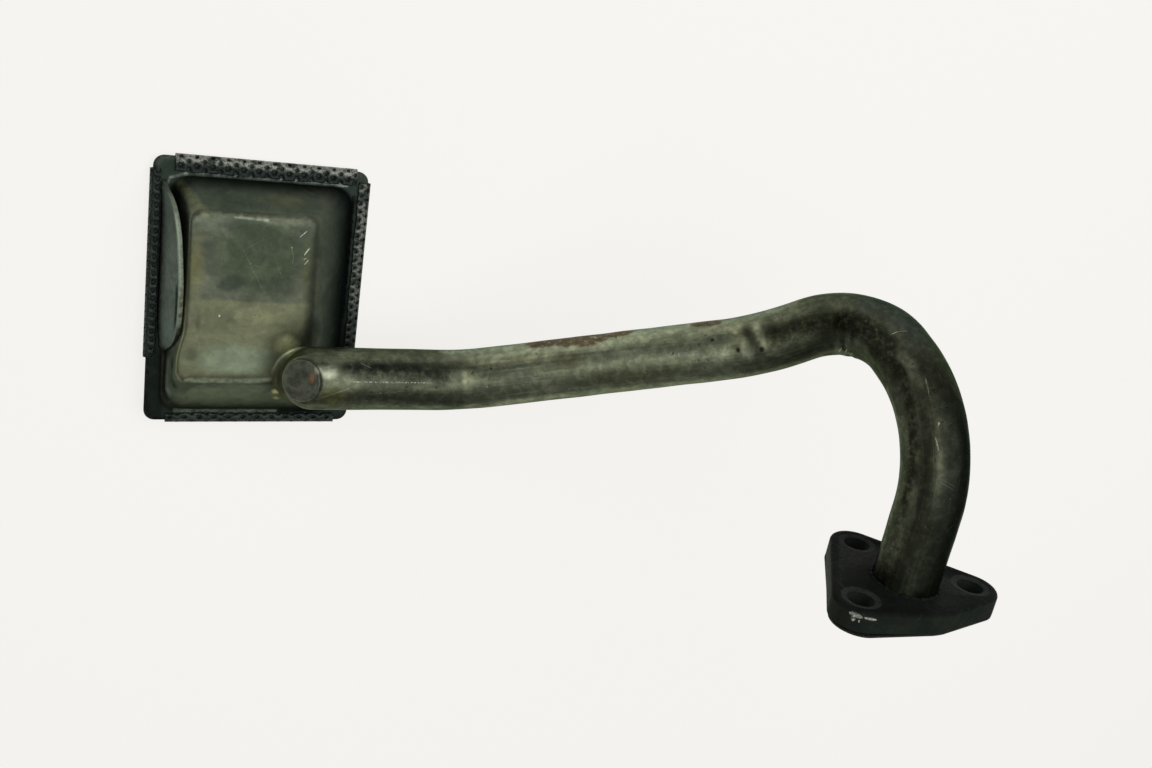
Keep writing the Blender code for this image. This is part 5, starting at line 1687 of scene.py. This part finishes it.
def build_camera():
    """The camera at the photograph's place, turned and with the lens that the photograph was solved for."""
    look = bpy.context.scene.pickup_stage
    right = Vector((0.9088, 0.1713, 0.3805)).normalized()
    up = Vector((-0.0111, 0.9215, -0.3882))
    back = right.cross(up).normalized()
    up = back.cross(right)
    place = Matrix((right, up, back)).transposed().to_4x4()
    place.translation = look.camera_place
    data = bpy.data.cameras.new("Camera")
    data.sensor_width = 36.0
    data.lens = look.camera_lens
    data.clip_start = 0.01
    camera = bpy.data.objects.new("Camera", data)
    bpy.context.scene.collection.objects.link(camera)
    camera.matrix_world = place
    bpy.context.scene.camera = camera


# Settings, operators and panel


class PickupSizes(PropertyGroup):
    """Sizes of the dressed pieces."""

    hole_pitch: FloatProperty(name="Hole pitch", description="Distance between the screen's holes",
                              default=0.0038,
                              unit="LENGTH")
    hole_diameter: FloatProperty(name="Hole diameter", description="Width of one screen hole",
                                 default=0.00175,
                                 unit="LENGTH")
    tube_diameter: FloatProperty(name="Tube diameter", description="Outer width of the suction tube",
                                 default=0.028,
                                 unit="LENGTH")


class PickupFinish(PropertyGroup):
    """Colours and roughness of the metals."""

    pan_colour: FloatVectorProperty(name="Pan colour", description="Base tone of the pressed pan", size=3,
                                    subtype="COLOR", default=(0.160, 0.178, 0.126))
    pan_roughness: FloatProperty(name="Pan roughness", description="Roughness of the pan", default=0.40,
                                 subtype="FACTOR")
    screen_colour: FloatVectorProperty(name="Screen colour", description="Base tone of the screen", size=3,
                                       subtype="COLOR", default=(0.042, 0.058, 0.049))
    screen_roughness: FloatProperty(name="Screen roughness", description="Roughness of the screen",
                                    default=0.45,
                                    subtype="FACTOR")
    tube_colour: FloatVectorProperty(name="Tube colour", description="Base tone of the tube", size=3,
                                     subtype="COLOR", default=(0.290, 0.316, 0.208))
    tube_roughness: FloatProperty(name="Tube roughness", description="Roughness of the tube", default=0.34,
                                  subtype="FACTOR")
    flange_colour: FloatVectorProperty(name="Flange colour", description="Base tone of the flange", size=3,
                                       subtype="COLOR", default=(0.0108, 0.0138, 0.0116))
    flange_roughness: FloatProperty(name="Flange roughness", description="Roughness of the flange",
                                    default=0.42,
                                    subtype="FACTOR")


class PickupStage(PropertyGroup):
    """Camera, floor and lamps."""

    camera_place: FloatVectorProperty(name="Camera place", description="Where the camera stands", size=3,
                                      subtype="TRANSLATION", default=(-0.3348, 0.2365, 0.3493))
    camera_lens: FloatProperty(name="Camera lens", description="Focal length in millimetres", default=36.18)
    floor_colour: FloatVectorProperty(name="Floor colour", description="Tone of the pale floor", size=3,
                                      subtype="COLOR", default=(0.921, 0.904, 0.871))
    floor_glow: FloatProperty(name="Floor tone", description="How bright the floor looks to the camera",
                              default=1.205)
    room_strength: FloatProperty(name="Room light", description="Strength of the even room light",
                                 default=0.13)
    key_power: FloatProperty(name="Key power", description="Power of the large soft box", default=7.5)


class PICKUP_OT_pan(Operator):
    """Build the pressed strainer pan with its louvre and neck"""

    bl_idname = "pickup.pan"
    bl_label = "Strainer pan"

    def execute(self, context):
        steel = pan_steel()
        dome = build_dome(steel)
        build_louvre(louvre_face(), louvre_edge_steel())
        build_neck(steel, dome)
        return {"FINISHED"}


class PICKUP_OT_screen(Operator):
    """Build the folded, perforated screen"""

    bl_idname = "pickup.screen"
    bl_label = "Screen"

    def execute(self, context):
        build_screen(screen_steel())
        return {"FINISHED"}


class PICKUP_OT_tube(Operator):
    """Build the bent suction tube, its end plug and its braze"""

    bl_idname = "pickup.tube"
    bl_label = "Suction tube"

    def execute(self, context):
        build_tube(tube_steel())
        build_plug(plug_steel())
        build_braze(braze_brass())
        return {"FINISHED"}


class PICKUP_OT_flange(Operator):
    """Build the flange, its weld and its gasket"""

    bl_idname = "pickup.flange"
    bl_label = "Flange"

    def execute(self, context):
        steel = flange_steel()
        build_flange(steel)
        build_weld(steel)
        build_gasket(gasket_paper())
        return {"FINISHED"}


class PICKUP_OT_stage(Operator):
    """Set the floor, the lamps and the camera"""

    bl_idname = "pickup.stage"
    bl_label = "Stage"

    def execute(self, context):
        look = context.scene.pickup_stage
        build_floor()
        build_world()
        middle = (-0.13, 0.06, -0.07)
        build_lamp("Overhead soft box", (0.02, 0.36, 0.95), middle, (1.5, 1.3), look.key_power)
        build_camera()
        context.scene.view_settings.view_transform = "Standard"
        return {"FINISHED"}


class PICKUP_PT_panel(Panel):
    """Lists the pieces of the oil pickup tube"""

    bl_idname = "PICKUP_PT_panel"
    bl_label = "Oil pickup tube"
    bl_space_type = "VIEW_3D"
    bl_region_type = "UI"
    bl_category = "Pickup"

    def draw(self, context):
        for operator in OPERATORS:
            self.layout.operator(operator.bl_idname)


OPERATORS = (PICKUP_OT_pan, PICKUP_OT_screen, PICKUP_OT_tube, PICKUP_OT_flange, PICKUP_OT_stage)
GROUPS = {"pickup_sizes": PickupSizes, "pickup_finish": PickupFinish, "pickup_stage": PickupStage}


def register():
    """Registers the settings, the operators and the panel."""
    for kind in (*GROUPS.values(), *OPERATORS, PICKUP_PT_panel):
        bpy.utils.register_class(kind)
    for name, kind in GROUPS.items():
        setattr(bpy.types.Scene, name, PointerProperty(type=kind))


def unregister():
    """Removes the settings, the operators and the panel."""
    for name in GROUPS:
        delattr(bpy.types.Scene, name)
    for kind in reversed((*GROUPS.values(), *OPERATORS, PICKUP_PT_panel)):
        bpy.utils.unregister_class(kind)


def main():
    """Builds the whole scene."""
    register()
    bpy.ops.pickup.pan()
    bpy.ops.pickup.screen()
    bpy.ops.pickup.tube()
    bpy.ops.pickup.flange()
    bpy.ops.pickup.stage()


if __name__ == "__main__":
    main()
